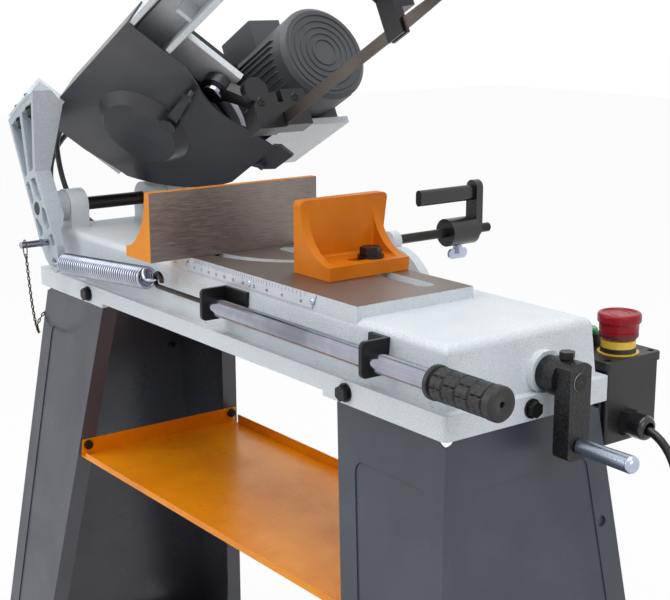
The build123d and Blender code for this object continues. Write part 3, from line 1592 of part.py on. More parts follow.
# Tension block with the idler axle, and its knob
with BuildPart() as tension_block:
    with BuildSketch(loop.offset(plate_back - 0.2)):
        with Locations((wheel_distance, 0)):
            Rectangle(64, 48.6)
    extrude(amount=-15)
    with BuildSketch(loop.offset(plate_back - 1)):
        with Locations((wheel_distance, 0)):
            Circle(axle_radius)
    extrude(amount=36.4)
    with BuildSketch(loop.offset(plate_back - 0.2)):
        with Locations((wheel_distance, 0)):
            Circle(axle_radius + 6)
            Circle(axle_radius, mode=Mode.SUBTRACT)
    extrude(amount=0.1)
tension_block.part.label = "tension_block"

with BuildPart() as tension_knob:
    with BuildSketch(loop_cross(wheel_distance + 32.3)):
        with Locations((0, plate_back - 8)):
            Circle(6)
    extrude(amount=92)
    with BuildSketch(loop_cross(wheel_distance + 122)):
        with Locations((0, plate_back - 8)):
            Circle(22)
            with PolarLocations(25, 6):
                Circle(6, mode=Mode.SUBTRACT)
    extrude(amount=24)
tension_knob.part.label = "tension_knob"

# Blade guides
with BuildPart() as guide_post:
    with BuildSketch(loop.offset(plate_front + 0.05)):
        with Locations(post_uw):
            Circle(12)
    extrude(amount=26)
guide_post.part.label = "guide_post"

guide_gap = 1.4
guide_x = (246.0, 269.0)
with BuildPart() as left_guide:
    # Two blocks beside the blade, joined above its back
    with BuildSketch(bow_cross(guide_x[0])):
        with BuildLine():
            Polyline(
                (front + 140, -22),
                (blade_y - guide_gap, -22),
                (blade_y - guide_gap, blade_drop + blade_width / 2 + 1),
                (blade_y + guide_gap, blade_drop + blade_width / 2 + 1),
                (blade_y + guide_gap, -20),
                (front + 212, -20),
                (front + 212, 23),
                (blade_y + 4, 23),
                (blade_y + 4, 8),
                (blade_y - 3, 8),
                (blade_y - 3, 21),
                (front + 150, 17),
                (front + 140, 6),
                close=True,
            )
        make_face()
    extrude(amount=guide_x[1] - guide_x[0])
    # Clamp disc and neck up to the post
    with BuildSketch(bow_cross(guide_x[0] + 8)):
        with Locations((front + 152, 26)):
            Circle(15)
    extrude(amount=guide_x[1] - guide_x[0] - 12)
    with BuildSketch(loop.offset(-8)):
        with BuildLine():
            Polyline((104, -18), (130, -18), (guide_x[1] - wheel_u - 6, -56), (guide_x[0] - wheel_u, -56), close=True)
        make_face()
        with Locations(post_uw):
            Circle(17)
        with Locations(post_uw):
            Circle(12 + 0.02, mode=Mode.SUBTRACT)
    extrude(amount=12)
left_guide.part.label = "left_guide"

right_x = (474.0, 500.0)
arm_h = (-30.0, -22.3)
with BuildPart() as right_guide:
    # Thin pads beside the blade under a bridge above its back
    with BuildSketch(bow_cross(right_x[0])):
        with BuildLine():
            Polyline(
                (blade_y - 4, -20),
                (blade_y - guide_gap, -20),
                (blade_y - guide_gap, blade_drop + blade_width / 2 + 1),
                (blade_y + guide_gap, blade_drop + blade_width / 2 + 1),
                (blade_y + guide_gap, -20),
                (blade_y + 5, -20),
                (blade_y + 5, 7),
                (blade_y + 22, 9),
                (blade_y + 22, 24),
                (blade_y - 4, 24),
                close=True,
            )
        make_face()
    extrude(amount=right_x[1] - right_x[0])
    # Arm behind the beam with a lip under the rail
    with BuildSketch(loop.offset(arm_h[0])):
        with Locations(((right_x[0] + right_x[1]) / 2 - wheel_u, -8)):
            Rectangle(right_x[1] - right_x[0], 132)
    extrude(amount=arm_h[1] - arm_h[0])
    with BuildSketch(loop.offset(arm_h[0])):
        with Locations(((right_x[0] + right_x[1]) / 2 - wheel_u, beam_low - 14)):
            Rectangle(right_x[1] - right_x[0], 15)
    extrude(amount=plate_front - arm_h[0])
right_guide.part.label = "right_guide"

# Worm gearbox behind the drive wheel
with BuildPart() as gearbox:
    with BuildSketch(loop.offset(gearbox_front)):
        with Locations((0, 8)):
            RectangleRounded(104, 100, 10)
    extrude(amount=-58)
    with BuildSketch(loop.offset(gearbox_front)):
        Circle(axle_radius + run_gap)
    extrude(amount=-40, mode=Mode.SUBTRACT)
    with BuildSketch(loop_cross(-60)):
        with Locations(gear_shaft_wh):
            Circle(8 + run_gap)
    extrude(amount=44, mode=Mode.SUBTRACT)
gearbox.part.label = "gearbox"

# Motor on the rear shelf of the bow
motor_left = 66.0
with BuildPart() as motor:
    with BuildSketch(bow_cross(motor_left)):
        with Locations((motor_y, motor_z)):
            Circle(motor_radius)
    extrude(amount=motor_length)
    chamfer(motor.faces().filter_by(GeomType.PLANE).edges(), 5)
    with BuildSketch(bow_cross(motor_left + 26)):
        with Locations((motor_y, shelf_top + 0.1 + 15)):
            Rectangle(84, 30)
    extrude(amount=100)
    with BuildSketch(bow_cross(motor_left + 50)):
        with Locations((motor_y - 20, motor_z + motor_radius)):
            Rectangle(44, 36)
    extrude(amount=70)
    with BuildSketch(bow_cross(motor_left - 1)):
        with Locations((motor_y, motor_z)):
            Circle(9 + run_gap)
    extrude(amount=40, mode=Mode.SUBTRACT)
motor.part.label = "motor"

# Pulleys, belt and belt cover
pulley_x = (20.0, 36.0)


def groove_pulley(y, z, radius, shaft, inner_x):
    """Pulley with one belt groove and its shaft."""
    mid = (pulley_x[0] + pulley_x[1]) / 2
    with BuildPart() as pulley:
        with BuildSketch(Plane(origin=bow.from_local_coords((mid, z, -y)), x_dir=bow.x_dir, z_dir=bow.z_dir)):
            with BuildLine():
                Polyline(
                    (-8, 0),
                    (-8, radius),
                    (-6, radius),
                    (-3.6, radius - belt_depth - 0.8),
                    (3.6, radius - belt_depth - 0.8),
                    (6, radius),
                    (8, radius),
                    (8, shaft),
                    (inner_x - mid, shaft),
                    (inner_x - mid, 0),
                    close=True,
                )
            make_face()
        revolve(axis=Axis(bow.from_local_coords((0, z, -y)), bow.x_dir))
    return pulley


with BuildPart() as motor_pulley:
    add(groove_pulley(motor_y, motor_z, motor_pulley_radius, 9.0, motor_left + 36).part)
motor_pulley.part.label = "motor_pulley"

with BuildPart() as gearbox_pulley:
    add(groove_pulley(gear_y, gear_z, gear_pulley_radius, 8.0, wheel_u - 20).part)
gearbox_pulley.part.label = "gearbox_pulley"


def hull_face(gear_r, motor_r, plane):
    """Outline round both pulleys on a plane."""
    with BuildSketch(plane) as outline:
        with Locations((gear_y, gear_z)):
            Circle(gear_r)
        with Locations((motor_y, motor_z)):
            Circle(motor_r)
        make_hull()
    return outline


with BuildPart() as v_belt:
    mid_x = (pulley_x[0] + pulley_x[1]) / 2
    add(hull_face(gear_pulley_radius - 0.5, motor_pulley_radius - 0.5, bow_cross(mid_x - 3.2)).sketch)
    extrude(amount=6.4, dir=bow.x_dir)
    add(
        hull_face(
            gear_pulley_radius - belt_depth - 0.5,
            motor_pulley_radius - belt_depth - 0.5,
            bow_cross(mid_x - 4),
        ).sketch
    )
    extrude(amount=8, dir=bow.x_dir, mode=Mode.SUBTRACT)
v_belt.part.label = "v_belt"

with BuildPart() as belt_cover:
    add(hull_face(gear_pulley_radius + 8, motor_pulley_radius + 14, bow_cross(8)).sketch)
    extrude(amount=wheel_u - 52 - 0.1 - 8, dir=bow.x_dir)
    add(hull_face(gear_pulley_radius + 6, motor_pulley_radius + 12, bow_cross(10)).sketch)
    extrude(amount=80, dir=bow.x_dir, mode=Mode.SUBTRACT)
belt_cover.part.label = "belt_cover"

# Cables from the bow to the bed's end
cable_radius = 3.4
motor_cable_points = [
    loop.from_local_coords((left_edge - 1.2, 66, 0)),
    (left - 46, front + 59, base + 174),
    (left - 79, front + 55.5, base + 133),
    (left - 66, front + 55, base + 88),
    (left - 34, front + 58, base + 58),
    (left + 13.2, front + 60, base + 52),
]
switch_cable_points = [
    loop.from_local_coords((left_edge - 1.2, 79, 3)),
    (left - 43, front + 50, base + 178),
    (left - 47, front + 55, base + 136),
    (left - 36, front + 60, base + 100),
    (left - 14, front + 66, base + 78),
    (left + 14.2, front + 72, base + 68),
]
with BuildPart() as motor_cable:
    with BuildLine():
        motor_path = FilletPolyline(*motor_cable_points, radius=turn_radii(motor_cable_points))
    with BuildSketch(
        Plane(origin=motor_cable_points[0], z_dir=Vector(motor_cable_points[1]) - Vector(motor_cable_points[0]))
    ):
        Circle(cable_radius)
    sweep()
motor_cable.part.label = "motor_cable"

with BuildPart() as switch_cable:
    with BuildLine():
        switch_path = FilletPolyline(*switch_cable_points, radius=turn_radii(switch_cable_points))
    with BuildSketch(
        Plane(origin=switch_cable_points[0], z_dir=Vector(switch_cable_points[1]) - Vector(switch_cable_points[0]))
    ):
        Circle(cable_radius)
    sweep()
switch_cable.part.label = "switch_cable"

# Chain of the lock pin, hung between the pin and the left leg
chain_radius = 1.8
pin_point = bow.from_local_coords((lock_hole[0], lock_hole[1], -(front - 46)))
chain_points = [
    (pin_point.X, pin_point.Y, pin_point.Z - 4.6),
    (left + 59, front - 41, base + 22),
    (left + 53, front - 36, base - 12),
    (left + 44, front - 28.5, base - 40),
    (left + 31, front - 19, base - 53),
    (left + 17, front - 14, base - 56),
    (left - 3.5, front - 7, base - 50),
    (-leg_outer(33) - 2.2, front + 6, base - 33),
]
with BuildPart() as pin_chain:
    with BuildLine():
        chain_path = FilletPolyline(*chain_points, radius=turn_radii(chain_points))
    with BuildSketch(Plane(origin=chain_points[0], z_dir=Vector(chain_points[1]) - Vector(chain_points[0]))):
        Circle(chain_radius)
    sweep()
pin_chain.part.label = "pin_chain"
for name, points, path, part, radius in (
    ("motor cable", motor_cable_points, motor_path, motor_cable, cable_radius),
    ("switch cable", switch_cable_points, switch_path, switch_cable, cable_radius),
    ("pin chain", chain_points, chain_path, pin_chain, chain_radius),
):
    print(name, "radii", [round(r, 1) for r in turn_radii(points)], "length", round(path.length, 1))
    print(name, "volume ratio", round(part.part.volume / (pi * radius**2 * path.length), 4))

# Export
pieces = [
    left_leg, right_leg, chip_tray, tray_bolts, leg_bolts, bed_casting, angle_scale, tube_brackets,
    control_bracket, control_box, box_lid, estop_base, estop_button, start_button, cable_gland,
    power_cord, power_cord_coil, power_plug, stop_rod, stop_arm, wing_screw, lead_screw, thrust_collar,
    crank_arm, crank_handle, thumb_screw, vise_nut, movable_jaw, jaw_bolt, fixed_jaw, fixed_jaw_bolts,
    adjuster_tube, adjuster_grip, spring_rod, feed_spring, lock_pin, pin_chain, pivot_shaft, front_arm,
    arm_screws, bow_casting, wheel_cover, cover_lever, idler_cover, drive_wheel, idler_wheel, blade,
    tension_block, tension_knob, guide_post, left_guide, right_guide, gearbox, motor, motor_pulley,
    gearbox_pulley, v_belt, belt_cover, motor_cable, switch_cable,
]
os.makedirs("parts", exist_ok=True)
for piece in pieces:
    export_step(piece.part, "parts/" + piece.part.label + ".step")
print("pieces", len(pieces))
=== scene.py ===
# %% [markdown]
# # A metal cutting band saw
# The saw stands on a folded sheet stand. A pale cast bed carries a swivel vise, and a tilting bow carries
# the blade loop. The solids come packed from the CAD. This script gives them their finishes and adds the
# forms that CAD leaves out: wire, cords, chain, teeth, graduations and small screws.

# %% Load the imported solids
import bpy
import numpy as np
from mathutils import Matrix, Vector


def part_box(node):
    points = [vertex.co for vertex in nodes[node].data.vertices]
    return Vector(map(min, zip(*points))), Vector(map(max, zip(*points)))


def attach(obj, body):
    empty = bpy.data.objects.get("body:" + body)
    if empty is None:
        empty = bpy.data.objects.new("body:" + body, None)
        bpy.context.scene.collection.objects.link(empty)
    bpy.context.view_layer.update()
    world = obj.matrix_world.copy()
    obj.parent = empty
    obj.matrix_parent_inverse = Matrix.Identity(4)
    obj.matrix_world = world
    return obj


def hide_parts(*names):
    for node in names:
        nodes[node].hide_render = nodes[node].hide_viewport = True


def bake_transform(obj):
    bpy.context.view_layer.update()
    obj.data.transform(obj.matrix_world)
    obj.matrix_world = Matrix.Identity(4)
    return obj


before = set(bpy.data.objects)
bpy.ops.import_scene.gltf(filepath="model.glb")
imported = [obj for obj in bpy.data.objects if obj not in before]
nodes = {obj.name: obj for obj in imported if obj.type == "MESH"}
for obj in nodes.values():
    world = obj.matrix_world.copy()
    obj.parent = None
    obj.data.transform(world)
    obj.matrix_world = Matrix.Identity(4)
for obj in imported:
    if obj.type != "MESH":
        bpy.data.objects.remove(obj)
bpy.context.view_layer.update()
MM = 0.001

# %% [markdown]
# ## Camera
# The place and lens of the camera were worked out from the straight edges of the bed in the photograph.
# A camera looks along its own minus Z, so its matrix is built from the view direction and the two
# directions that are right and up in the picture.

# %% Camera
AZIMUTH, ELEVATION, ROLL = np.radians((53.122, 13.105, 0.175))
FOCAL_PIXELS, IMAGE_WIDTH, SENSOR = 1337.55, 670, 36.0
CAMERA_PLACE, CLIP_NEAR, CLIP_FAR = (1.1371, -0.7763, 0.8749), 0.01, 60


def add_object(name, data):
    """An object that holds a mesh, curve, lamp or camera, put into the scene."""
    holder = bpy.data.objects.new(name, data)
    bpy.context.scene.collection.objects.link(holder)
    return holder


def stand(name, data, place, right, up, back):
    """An object at a place, its own x, y and z axes along right, up and back."""
    turn = np.eye(4)
    turn[:3, :3] = np.stack((right, up, back), axis=1)
    turn[:3, 3] = place
    holder = add_object(name, data)
    holder.matrix_world = Matrix(turn.tolist())
    return holder


forward = np.array((-np.sin(AZIMUTH) * np.cos(ELEVATION), np.cos(AZIMUTH) * np.cos(ELEVATION),
                    -np.sin(ELEVATION)))
level_right = np.array((np.cos(AZIMUTH), np.sin(AZIMUTH), 0))
level_down = np.cross(forward, level_right)
picture_right = np.cos(ROLL) * level_right + np.sin(ROLL) * level_down
picture_down = np.cos(ROLL) * level_down - np.sin(ROLL) * level_right
lens = bpy.data.cameras.new("camera")
lens.sensor_fit = "HORIZONTAL"
lens.sensor_width = SENSOR
lens.lens = FOCAL_PIXELS / IMAGE_WIDTH * SENSOR
lens.clip_start, lens.clip_end = CLIP_NEAR, CLIP_FAR
bpy.context.scene.camera = stand("camera", lens, CAMERA_PLACE, picture_right, -picture_down, -forward)
print("lens", round(lens.lens, 2), "mm")

# %% [markdown]
# ## Shader helpers
# Every finish is procedural. `put` adds one node and either links or sets its inputs, so a finish reads as
# a short list of nodes. `effect` starts a node group with named inputs and outputs.

# %% Shader helpers
bpy.context.scene.view_settings.view_transform = "Standard"


def tone(red, green, blue):
    """Linear colour of a screen colour given from 0 to 255, by the usual sRGB curve."""
    c = np.array((red, green, blue)) / 255
    return tuple(np.where(c <= 0.04045, c / 12.92, ((c + 0.055) / 1.055) ** 2.4)) + (1.0,)


def put(tree, kind, sockets=None, **settings):
    """One shader node; a socket given as another node's output is linked, any other value is set."""
    node = tree.nodes.new("ShaderNode" + kind)
    for key, value in settings.items():
        setattr(node, key, value)
    for key, value in (sockets or {}).items():
        if isinstance(value, bpy.types.NodeSocket):
            tree.links.new(value, node.inputs[key])
        else:
            node.inputs[key].default_value = value
    return node


def effect(name, inputs, outputs):
    """A node group with float or vector sockets; returns its tree, input node and output node."""
    tree = bpy.data.node_groups.new(name, "ShaderNodeTree")
    for label, value in inputs.items():
        kind = "NodeSocketVector" if np.ndim(value) else "NodeSocketFloat"
        tree.interface.new_socket(label, in_out="INPUT", socket_type=kind).default_value = value
    for label in outputs:
        tree.interface.new_socket(label, in_out="OUTPUT", socket_type="NodeSocketFloat")
    return tree, tree.nodes.new("NodeGroupInput"), tree.nodes.new("NodeGroupOutput")


def spread(tree, value, low, high, start=0.0, stop=1.0):
    """Value stretched from low..high to start..stop and clamped."""
    limits = {"Value": value, "From Min": low, "From Max": high, "To Min": start, "To Max": stop}
    return put(tree, "MapRange", limits).outputs["Result"]


def maths(tree, operation, a, b):
    """One sum, product or other operation on two values."""
    return put(tree, "Math", {0: a, 1: b}, operation=operation).outputs[0]


def dot(tree, a, b):
    """Dot product of two vectors."""
    return put(tree, "VectorMath", {0: a, 1: b}, operation="DOT_PRODUCT").outputs["Value"]


def blend_colour(tree, factor, a, b):
    """Mix of two colours by a mask."""
    return put(tree, "Mix", {0: factor, 6: a, 7: b}, data_type="RGBA").outputs[2]


# %% [markdown]
# ## Shared effects
# Four effects return in many finishes. *Grain* is the dimpled skin of cast or sprayed paint. *Edge wear*
# compares the rounded normal of a Bevel node with the true one, which marks the edges, and breaks the mark
# up with noise. *Ground lines* are noise stretched along one direction, as a grinding wheel leaves them.
# *Machined face* marks the flat that lies at one height and looks one way, where the paint was ground off.

# %% Shared effects
PATCH_SCALE, PATCH_RANGE, LINE_RANGE = 11.0, (0.36, 0.64), (0.3, 0.7)
EDGE_RANGE, SPOT_RANGE, SPOT_SHARE = (0.985, 0.86), (0.62, 0.7), 0.3
FACE_REACH, FACE_SQUARE = 0.0004, 0.9


def grain_effect():
    """Grain: fine noise of the given size as height, and wide soft patches from 0 to 1."""
    tree, given, made = effect("grain", {"Size": 0.003}, ("Height", "Patches"))
    place = put(tree, "TexCoord").outputs["Object"]
    scale = maths(tree, "DIVIDE", 1.0, given.outputs["Size"])
    fine = put(tree, "TexNoise", {"Vector": place, "Scale": scale, "Detail": 2.0, "Roughness": 0.45})
    wide = put(tree, "TexNoise", {"Vector": place, "Scale": PATCH_SCALE, "Detail": 4.0, "Roughness": 0.6})
    tree.links.new(fine.outputs[0], made.inputs["Height"])
    tree.links.new(spread(tree, wide.outputs[0], *PATCH_RANGE), made.inputs["Patches"])
    return tree


def wear_effect():
    """Edge wear: 1 where the dot of rounded and true normal falls off, times noise cut to spots."""
    tree, given, made = effect("edge_wear", {"Width": 0.001, "Spots": 300.0, "Amount": 0.5}, ("Mask",))
    place = put(tree, "TexCoord").outputs["Object"]
    rounded = put(tree, "Bevel", {"Radius": given.outputs["Width"]}, samples=4).outputs[0]
    along = dot(tree, rounded, put(tree, "NewGeometry").outputs["Normal"])
    edge = spread(tree, along, *EDGE_RANGE)
    noise = put(tree, "TexNoise", {"Vector": place, "Scale": given.outputs["Spots"], "Detail": 3.0})
    more = maths(tree, "MULTIPLY", given.outputs["Amount"], SPOT_SHARE)
    spots = spread(tree, maths(tree, "ADD", noise.outputs[0], more), *SPOT_RANGE)
    tree.links.new(maths(tree, "MULTIPLY", edge, spots), made.inputs["Mask"])
    return tree


def lines_effect():
    """Ground lines: noise on coordinates times a vector; an axis with a small number draws the noise out."""
    tree, given, made = effect("ground_lines", {"Stretch": (1.0, 1.0, 1.0)}, ("Value",))
    place = put(tree, "TexCoord").outputs["Object"]
    drawn = put(tree, "VectorMath", {0: place, 1: given.outputs["Stretch"]}, operation="MULTIPLY").outputs[0]
    lines = put(tree, "TexNoise", {"Vector": drawn, "Scale": 1.0, "Detail": 4.0, "Roughness": 0.65})
    tree.links.new(spread(tree, lines.outputs[0], *LINE_RANGE), made.inputs["Value"])
    return tree


def face_effect():
    """Machined face: 1 where position along an axis reaches the level and the surface looks along the axis."""
    tree, given, made = effect("machined_face", {"Axis": (0.0, 0.0, 1.0), "Level": 0.0}, ("Mask",))
    source, axis, level = put(tree, "TexCoord").outputs, given.outputs["Axis"], given.outputs["Level"]
    reach = dot(tree, source["Object"], axis)
    above = maths(tree, "GREATER_THAN", reach, maths(tree, "SUBTRACT", level, FACE_REACH))
    below = maths(tree, "LESS_THAN", reach, maths(tree, "ADD", level, FACE_REACH))
    square = maths(tree, "GREATER_THAN", dot(tree, source["Normal"], axis), FACE_SQUARE)
    there = maths(tree, "MULTIPLY", above, below)
    tree.links.new(maths(tree, "MULTIPLY", there, square), made.inputs["Mask"])
    return tree


EFFECTS = {"grain": grain_effect(), "wear": wear_effect(), "lines": lines_effect(), "face": face_effect()}


def use(tree, name, sockets):
    """One of the shared effects placed in a material with its own values."""
    return put(tree, "Group", sockets, node_tree=EFFECTS[name]).outputs


print("effects", sorted(EFFECTS))

# %% [markdown]
# ## Finishes
# One recipe serves paint, metal, rubber and plastic: a colour that drifts to a second one in soft patches
# or lines, flecks and worn edges in colours of their own, a roughness that varies with the patches, and
# grain as bump. Faces that were ground after painting switch to bare steel by the machined face mask.

# %% Finish recipe
STEEL, STEEL_DARK, GROUND_ROUGH = tone(160, 148, 142), tone(130, 120, 115), (0.3, 0.44)
SMOOTHER, ROUGHER, STREAK_COLOUR, STREAK_ROUGH = 0.05, 0.07, 0.5, 0.12
FLECK_RANGE, BUMP_DEPTH = (0.42, 0.7), 0.0006
FINISHES = {}


def finish(name, colour, drift, rough, grain, metal=0.0, on="", wear=None, lines=None, ground=(), coat=0.0,
           fleck=None, specular=0.5):
    """A Principled material: colour mixed to drift by patches and lines, to flecks, to worn edges, to steel.

    Colours are screen colours. Grain is its size and bump strength, wear is width, spot scale, amount and
    colour, lines is the stretch of the noise, ground lists axis, level and stretch of each bare face, and
    on names the solids that get the finish."""
    made = bpy.data.materials.new(name)
    made.use_nodes = True
    tree = made.node_tree
    shader = tree.nodes["Principled BSDF"]
    skin = use(tree, "grain", {"Size": grain[0]})
    shade = blend_colour(tree, skin["Patches"], tone(*colour), tone(*drift))
    dull = spread(tree, skin["Patches"], 0.0, 1.0, rough - SMOOTHER, rough + ROUGHER)
    height = skin["Height"]
    if lines:
        streaks = use(tree, "lines", {"Stretch": lines})["Value"]
        shade = blend_colour(tree, maths(tree, "MULTIPLY", streaks, STREAK_COLOUR), shade, tone(*drift))
        dull = maths(tree, "ADD", dull, maths(tree, "MULTIPLY", streaks, STREAK_ROUGH))
        height = streaks
    if fleck:
        shade = blend_colour(tree, spread(tree, skin["Height"], *FLECK_RANGE), shade, tone(*fleck))
    if wear:
        width, spots, amount, worn = wear
        mask = use(tree, "wear", {"Width": width, "Spots": spots, "Amount": amount})["Mask"]
        shade = blend_colour(tree, mask, shade, tone(*worn))
    for key, value in (("Metallic", metal), ("Coat Weight", coat), ("Specular IOR Level", specular)):
        shader.inputs[key].default_value = value
    for axis, level, stretch in ground:
        mask = use(tree, "face", {"Axis": axis, "Level": level})["Mask"]
        streaks = use(tree, "lines", {"Stretch": stretch})["Value"]
        shade = blend_colour(tree, mask, shade, blend_colour(tree, streaks, STEEL_DARK, STEEL))
        bright = spread(tree, streaks, 0.0, 1.0, *GROUND_ROUGH)
        dull = put(tree, "Mix", {0: mask, 2: dull, 3: bright}).outputs[0]
        height = put(tree, "Mix", {0: mask, 2: height, 3: streaks}).outputs[0]
        tree.links.new(mask, shader.inputs["Metallic"])
    bump = put(tree, "Bump", {"Height": height, "Strength": grain[1], "Distance": BUMP_DEPTH}).outputs[0]
    for key, value in (("Base Color", shade), ("Roughness", dull), ("Normal", bump)):
        tree.links.new(value, shader.inputs[key])
    for solid in on.split():
        nodes[solid].data.materials.clear()
        nodes[solid].data.materials.append(made)
    FINISHES[name] = made


# %% Painted finishes
PALE, PALE_DRIFT, PALE_FLECK, CHIP = (224, 229, 232), (215, 221, 225), (199, 207, 211), (70, 74, 74)
JAW_GRAIN, JAW_WEAR, MUTED = (0.0016, 0.14), (0.0008, 300.0, 0.0, (120, 70, 20)), 0.25
TABLE_FACE = ((0, 0, 1), 0.606, (1100.0, 60.0, 60.0))
FIXED_FACE = ((1, 0, 0), -0.029, (60.0, 60.0, 1100.0))
MOVING_FACE = ((-1, 0, 0), -0.094, (60.0, 60.0, 1100.0))

finish("bed paint", PALE, PALE_DRIFT, 0.4, (0.0014, 0.5), on="bed_casting", fleck=PALE_FLECK,
       wear=(0.0012, 220.0, 0.05, CHIP), ground=[TABLE_FACE])
finish("cast paint", PALE, PALE_DRIFT, 0.4, (0.0014, 0.5), on="bow_casting", fleck=PALE_FLECK,
       wear=(0.001, 240.0, 0.1, CHIP))
finish("arm paint", (194, 202, 208), (178, 187, 194), 0.42, (0.0017, 0.8), on="front_arm",
       fleck=(170, 179, 186), wear=(0.001, 240.0, 0.12, CHIP))
finish("fixed jaw paint", (236, 146, 4), (226, 130, 3), 0.36, JAW_GRAIN, on="fixed_jaw", wear=JAW_WEAR,
       ground=[FIXED_FACE], specular=MUTED)
# Painted shade: the moving jaw has the fixed jaw's orange made darker and redder, for the shade on its faces.
finish("moving jaw paint with painted shade", (222, 126, 8), (208, 110, 6), 0.36, JAW_GRAIN, on="movable_jaw", wear=JAW_WEAR,
       ground=[MOVING_FACE], specular=MUTED)
finish("tray paint", (246, 152, 16), (228, 134, 10), 0.26, (0.0011, 0.08), on="chip_tray", specular=MUTED)
finish("sheet paint", (68, 71, 82), (58, 61, 72), 0.3, (0.0009, 0.1),
       on="left_leg right_leg belt_cover control_bracket", wear=(0.0006, 300.0, 0.0, (120, 122, 126)))
finish("cover paint", (56, 57, 65), (47, 48, 56), 0.33, (0.0008, 0.12), on="wheel_cover idler_cover",
       coat=0.12)
finish("motor paint", (70, 72, 76), (62, 64, 68), 0.45, (0.0012, 0.15), on="motor")
print("painted finishes", len(FINISHES))

# %% Metal finishes
finish("chrome", (164, 167, 180), (154, 157, 172), 0.1, (0.004, 0.01), 1.0, on="lock_pin guide_post")
finish("drawn chrome", (180, 183, 196), (128, 130, 142), 0.08, (0.004, 0.01), 1.0, on="adjuster_tube",
       lines=(3.0, 240.0, 240.0))
finish("spring wire", (190, 197, 212), (168, 175, 192), 0.2, (0.002, 0.05), 1.0)
finish("zinc", (200, 208, 222), (176, 184, 202), 0.24, (0.002, 0.04), 1.0,
       on="feed_spring crank_handle wing_screw")
finish("bare steel", (176, 174, 172), (150, 148, 146), 0.3, (0.001, 0.05), 1.0, on="lead_screw vise_nut")
finish("shaft steel", (58, 56, 54), (46, 44, 42), 0.34, (0.0012, 0.06), 0.85,
       on="pivot_shaft stop_rod spring_rod")
finish("blade steel", (118, 110, 106), (96, 90, 86), 0.36, (0.001, 0.05), 1.0, on="blade",
       lines=(22.0, 22.0, 900.0))
finish("scale plate", (214, 217, 224), (200, 203, 211), 0.38, (0.0008, 0.03), 0.75, on="angle_scale",
       lines=(10.0, 400.0, 1200.0))
finish("black oxide", (28, 27, 28), (20, 19, 20), 0.36, (0.0009, 0.1), 0.4,
       on="tray_bolts leg_bolts thrust_collar thumb_screw jaw_bolt fixed_jaw_bolts arm_screws tube_brackets"
          " pin_chain tension_block", wear=(0.0004, 500.0, 0.3, (86, 84, 84)))
finish("rough iron", (20, 19, 20), (14, 13, 14), 0.32, (0.0022, 0.9), 0.2, fleck=(46, 45, 46),
       on="crank_arm drive_wheel idler_wheel motor_pulley gearbox_pulley gearbox",
       wear=(0.0005, 400.0, 0.3, (80, 78, 78)))
finish("guide black", (32, 32, 35), (26, 26, 29), 0.32, (0.0007, 0.12), 0.2, on="left_guide right_guide",
       wear=(0.0005, 500.0, 0.2, (110, 110, 112)))
finish("chain brown", (92, 76, 66), (70, 58, 50), 0.38, (0.001, 0.05), 0.9)
print("with metals", len(FINISHES))

# %% Rubber, plastic and ink
finish("rubber", (31, 30, 31), (25, 24, 25), 0.46, (0.0012, 0.12), on="adjuster_grip v_belt")
finish("cord skin", (22, 22, 24), (17, 17, 19), 0.36, (0.0015, 0.05),
       on="power_cord power_cord_coil motor_cable switch_cable")
finish("plastic", (30, 29, 30), (25, 24, 25), 0.42, (0.0005, 0.16), on="control_box box_lid power_plug")
finish("gloss black", (29, 29, 31), (22, 22, 24), 0.28, (0.0012, 0.1), coat=0.3,
       on="cable_gland cover_lever tension_knob stop_arm")
finish("red plastic", (150, 8, 26), (134, 6, 22), 0.34, (0.0008, 0.03), on="estop_button", coat=0.1,
       specular=MUTED)
finish("yellow plastic", (240, 200, 60), (230, 186, 44), 0.32, (0.0008, 0.03), on="estop_base", coat=0.2)
finish("dark red", (78, 30, 34), (64, 26, 30), 0.45, (0.0008, 0.05))
finish("green plastic", (20, 150, 90), (16, 138, 82), 0.3, (0.0008, 0.03), on="start_button", coat=0.2)
# Black for the printed scale, and for the painted shade of the centre hole in the vise screw's end.
finish("ink and hole shade", (34, 34, 38), (44, 44, 48), 0.6, (0.0008, 0.02))
print("all finishes", len(FINISHES))

# %% [markdown]
# ## Mesh helpers
# A piece is a grid of points worked out as whole arrays. `carry` sweeps an outline along a path, `lathe`
# turns a profile about an axis, and `make_piece` puts the arrays into a mesh, marks sharp edges, and lets
# the piece ride on the body that holds it.

# %% Mesh helpers
def unit(v):
    """Vectors divided by their lengths."""
    return v / np.linalg.norm(v, axis=-1, keepdims=True)


def square_to(axis):
    """Direction square to an axis, nearest to the coordinate axis that leans on it least."""
    seed = np.eye(3)[np.argmin(np.abs(axis))]
    return unit(seed - axis * (seed @ axis))


def grid_faces(rows, columns):
    """Quads of a grid of points in closed rows: each joins its neighbour in the row and the two below."""
    i = np.arange(rows - 1)[:, None]
    j = np.arange(columns)[None, :]
    a, b = i * columns + j, i * columns + (j + 1) % columns
    return np.stack((a, b, b + columns, a + columns), axis=-1).reshape(-1, 4).tolist()


def rings(points):
    """Closed skin over rings of points: quads between rings and a flat cap on the first and last."""
    rows, columns = points.shape[:2]
    faces = grid_faces(rows, columns)
    first = np.arange(columns)
    faces.append(first[::-1].tolist())
    faces.append((first + (rows - 1) * columns).tolist())
    return points.reshape(-1, 3), faces


def travel_frames(path):
    """Tangent and two crosswise directions at each point, each ring turned as little as possible."""
    tangent = unit(np.gradient(path, axis=0))
    across = np.empty_like(path)
    across[0] = square_to(tangent[0])
    for k in range(1, len(path)):
        across[k] = unit(across[k - 1] - tangent[k] * (across[k - 1] @ tangent[k]))
    return tangent, across, np.cross(tangent, across)


def full_turn(count):
    """Angles of equal steps once round."""
    return np.linspace(0, 2 * np.pi, count, endpoint=False)


def circle(radius, sides):
    """Points of a circle as an outline of two columns."""
    angle = full_turn(sides)
    return radius * np.stack((np.cos(angle), np.sin(angle)), axis=1)


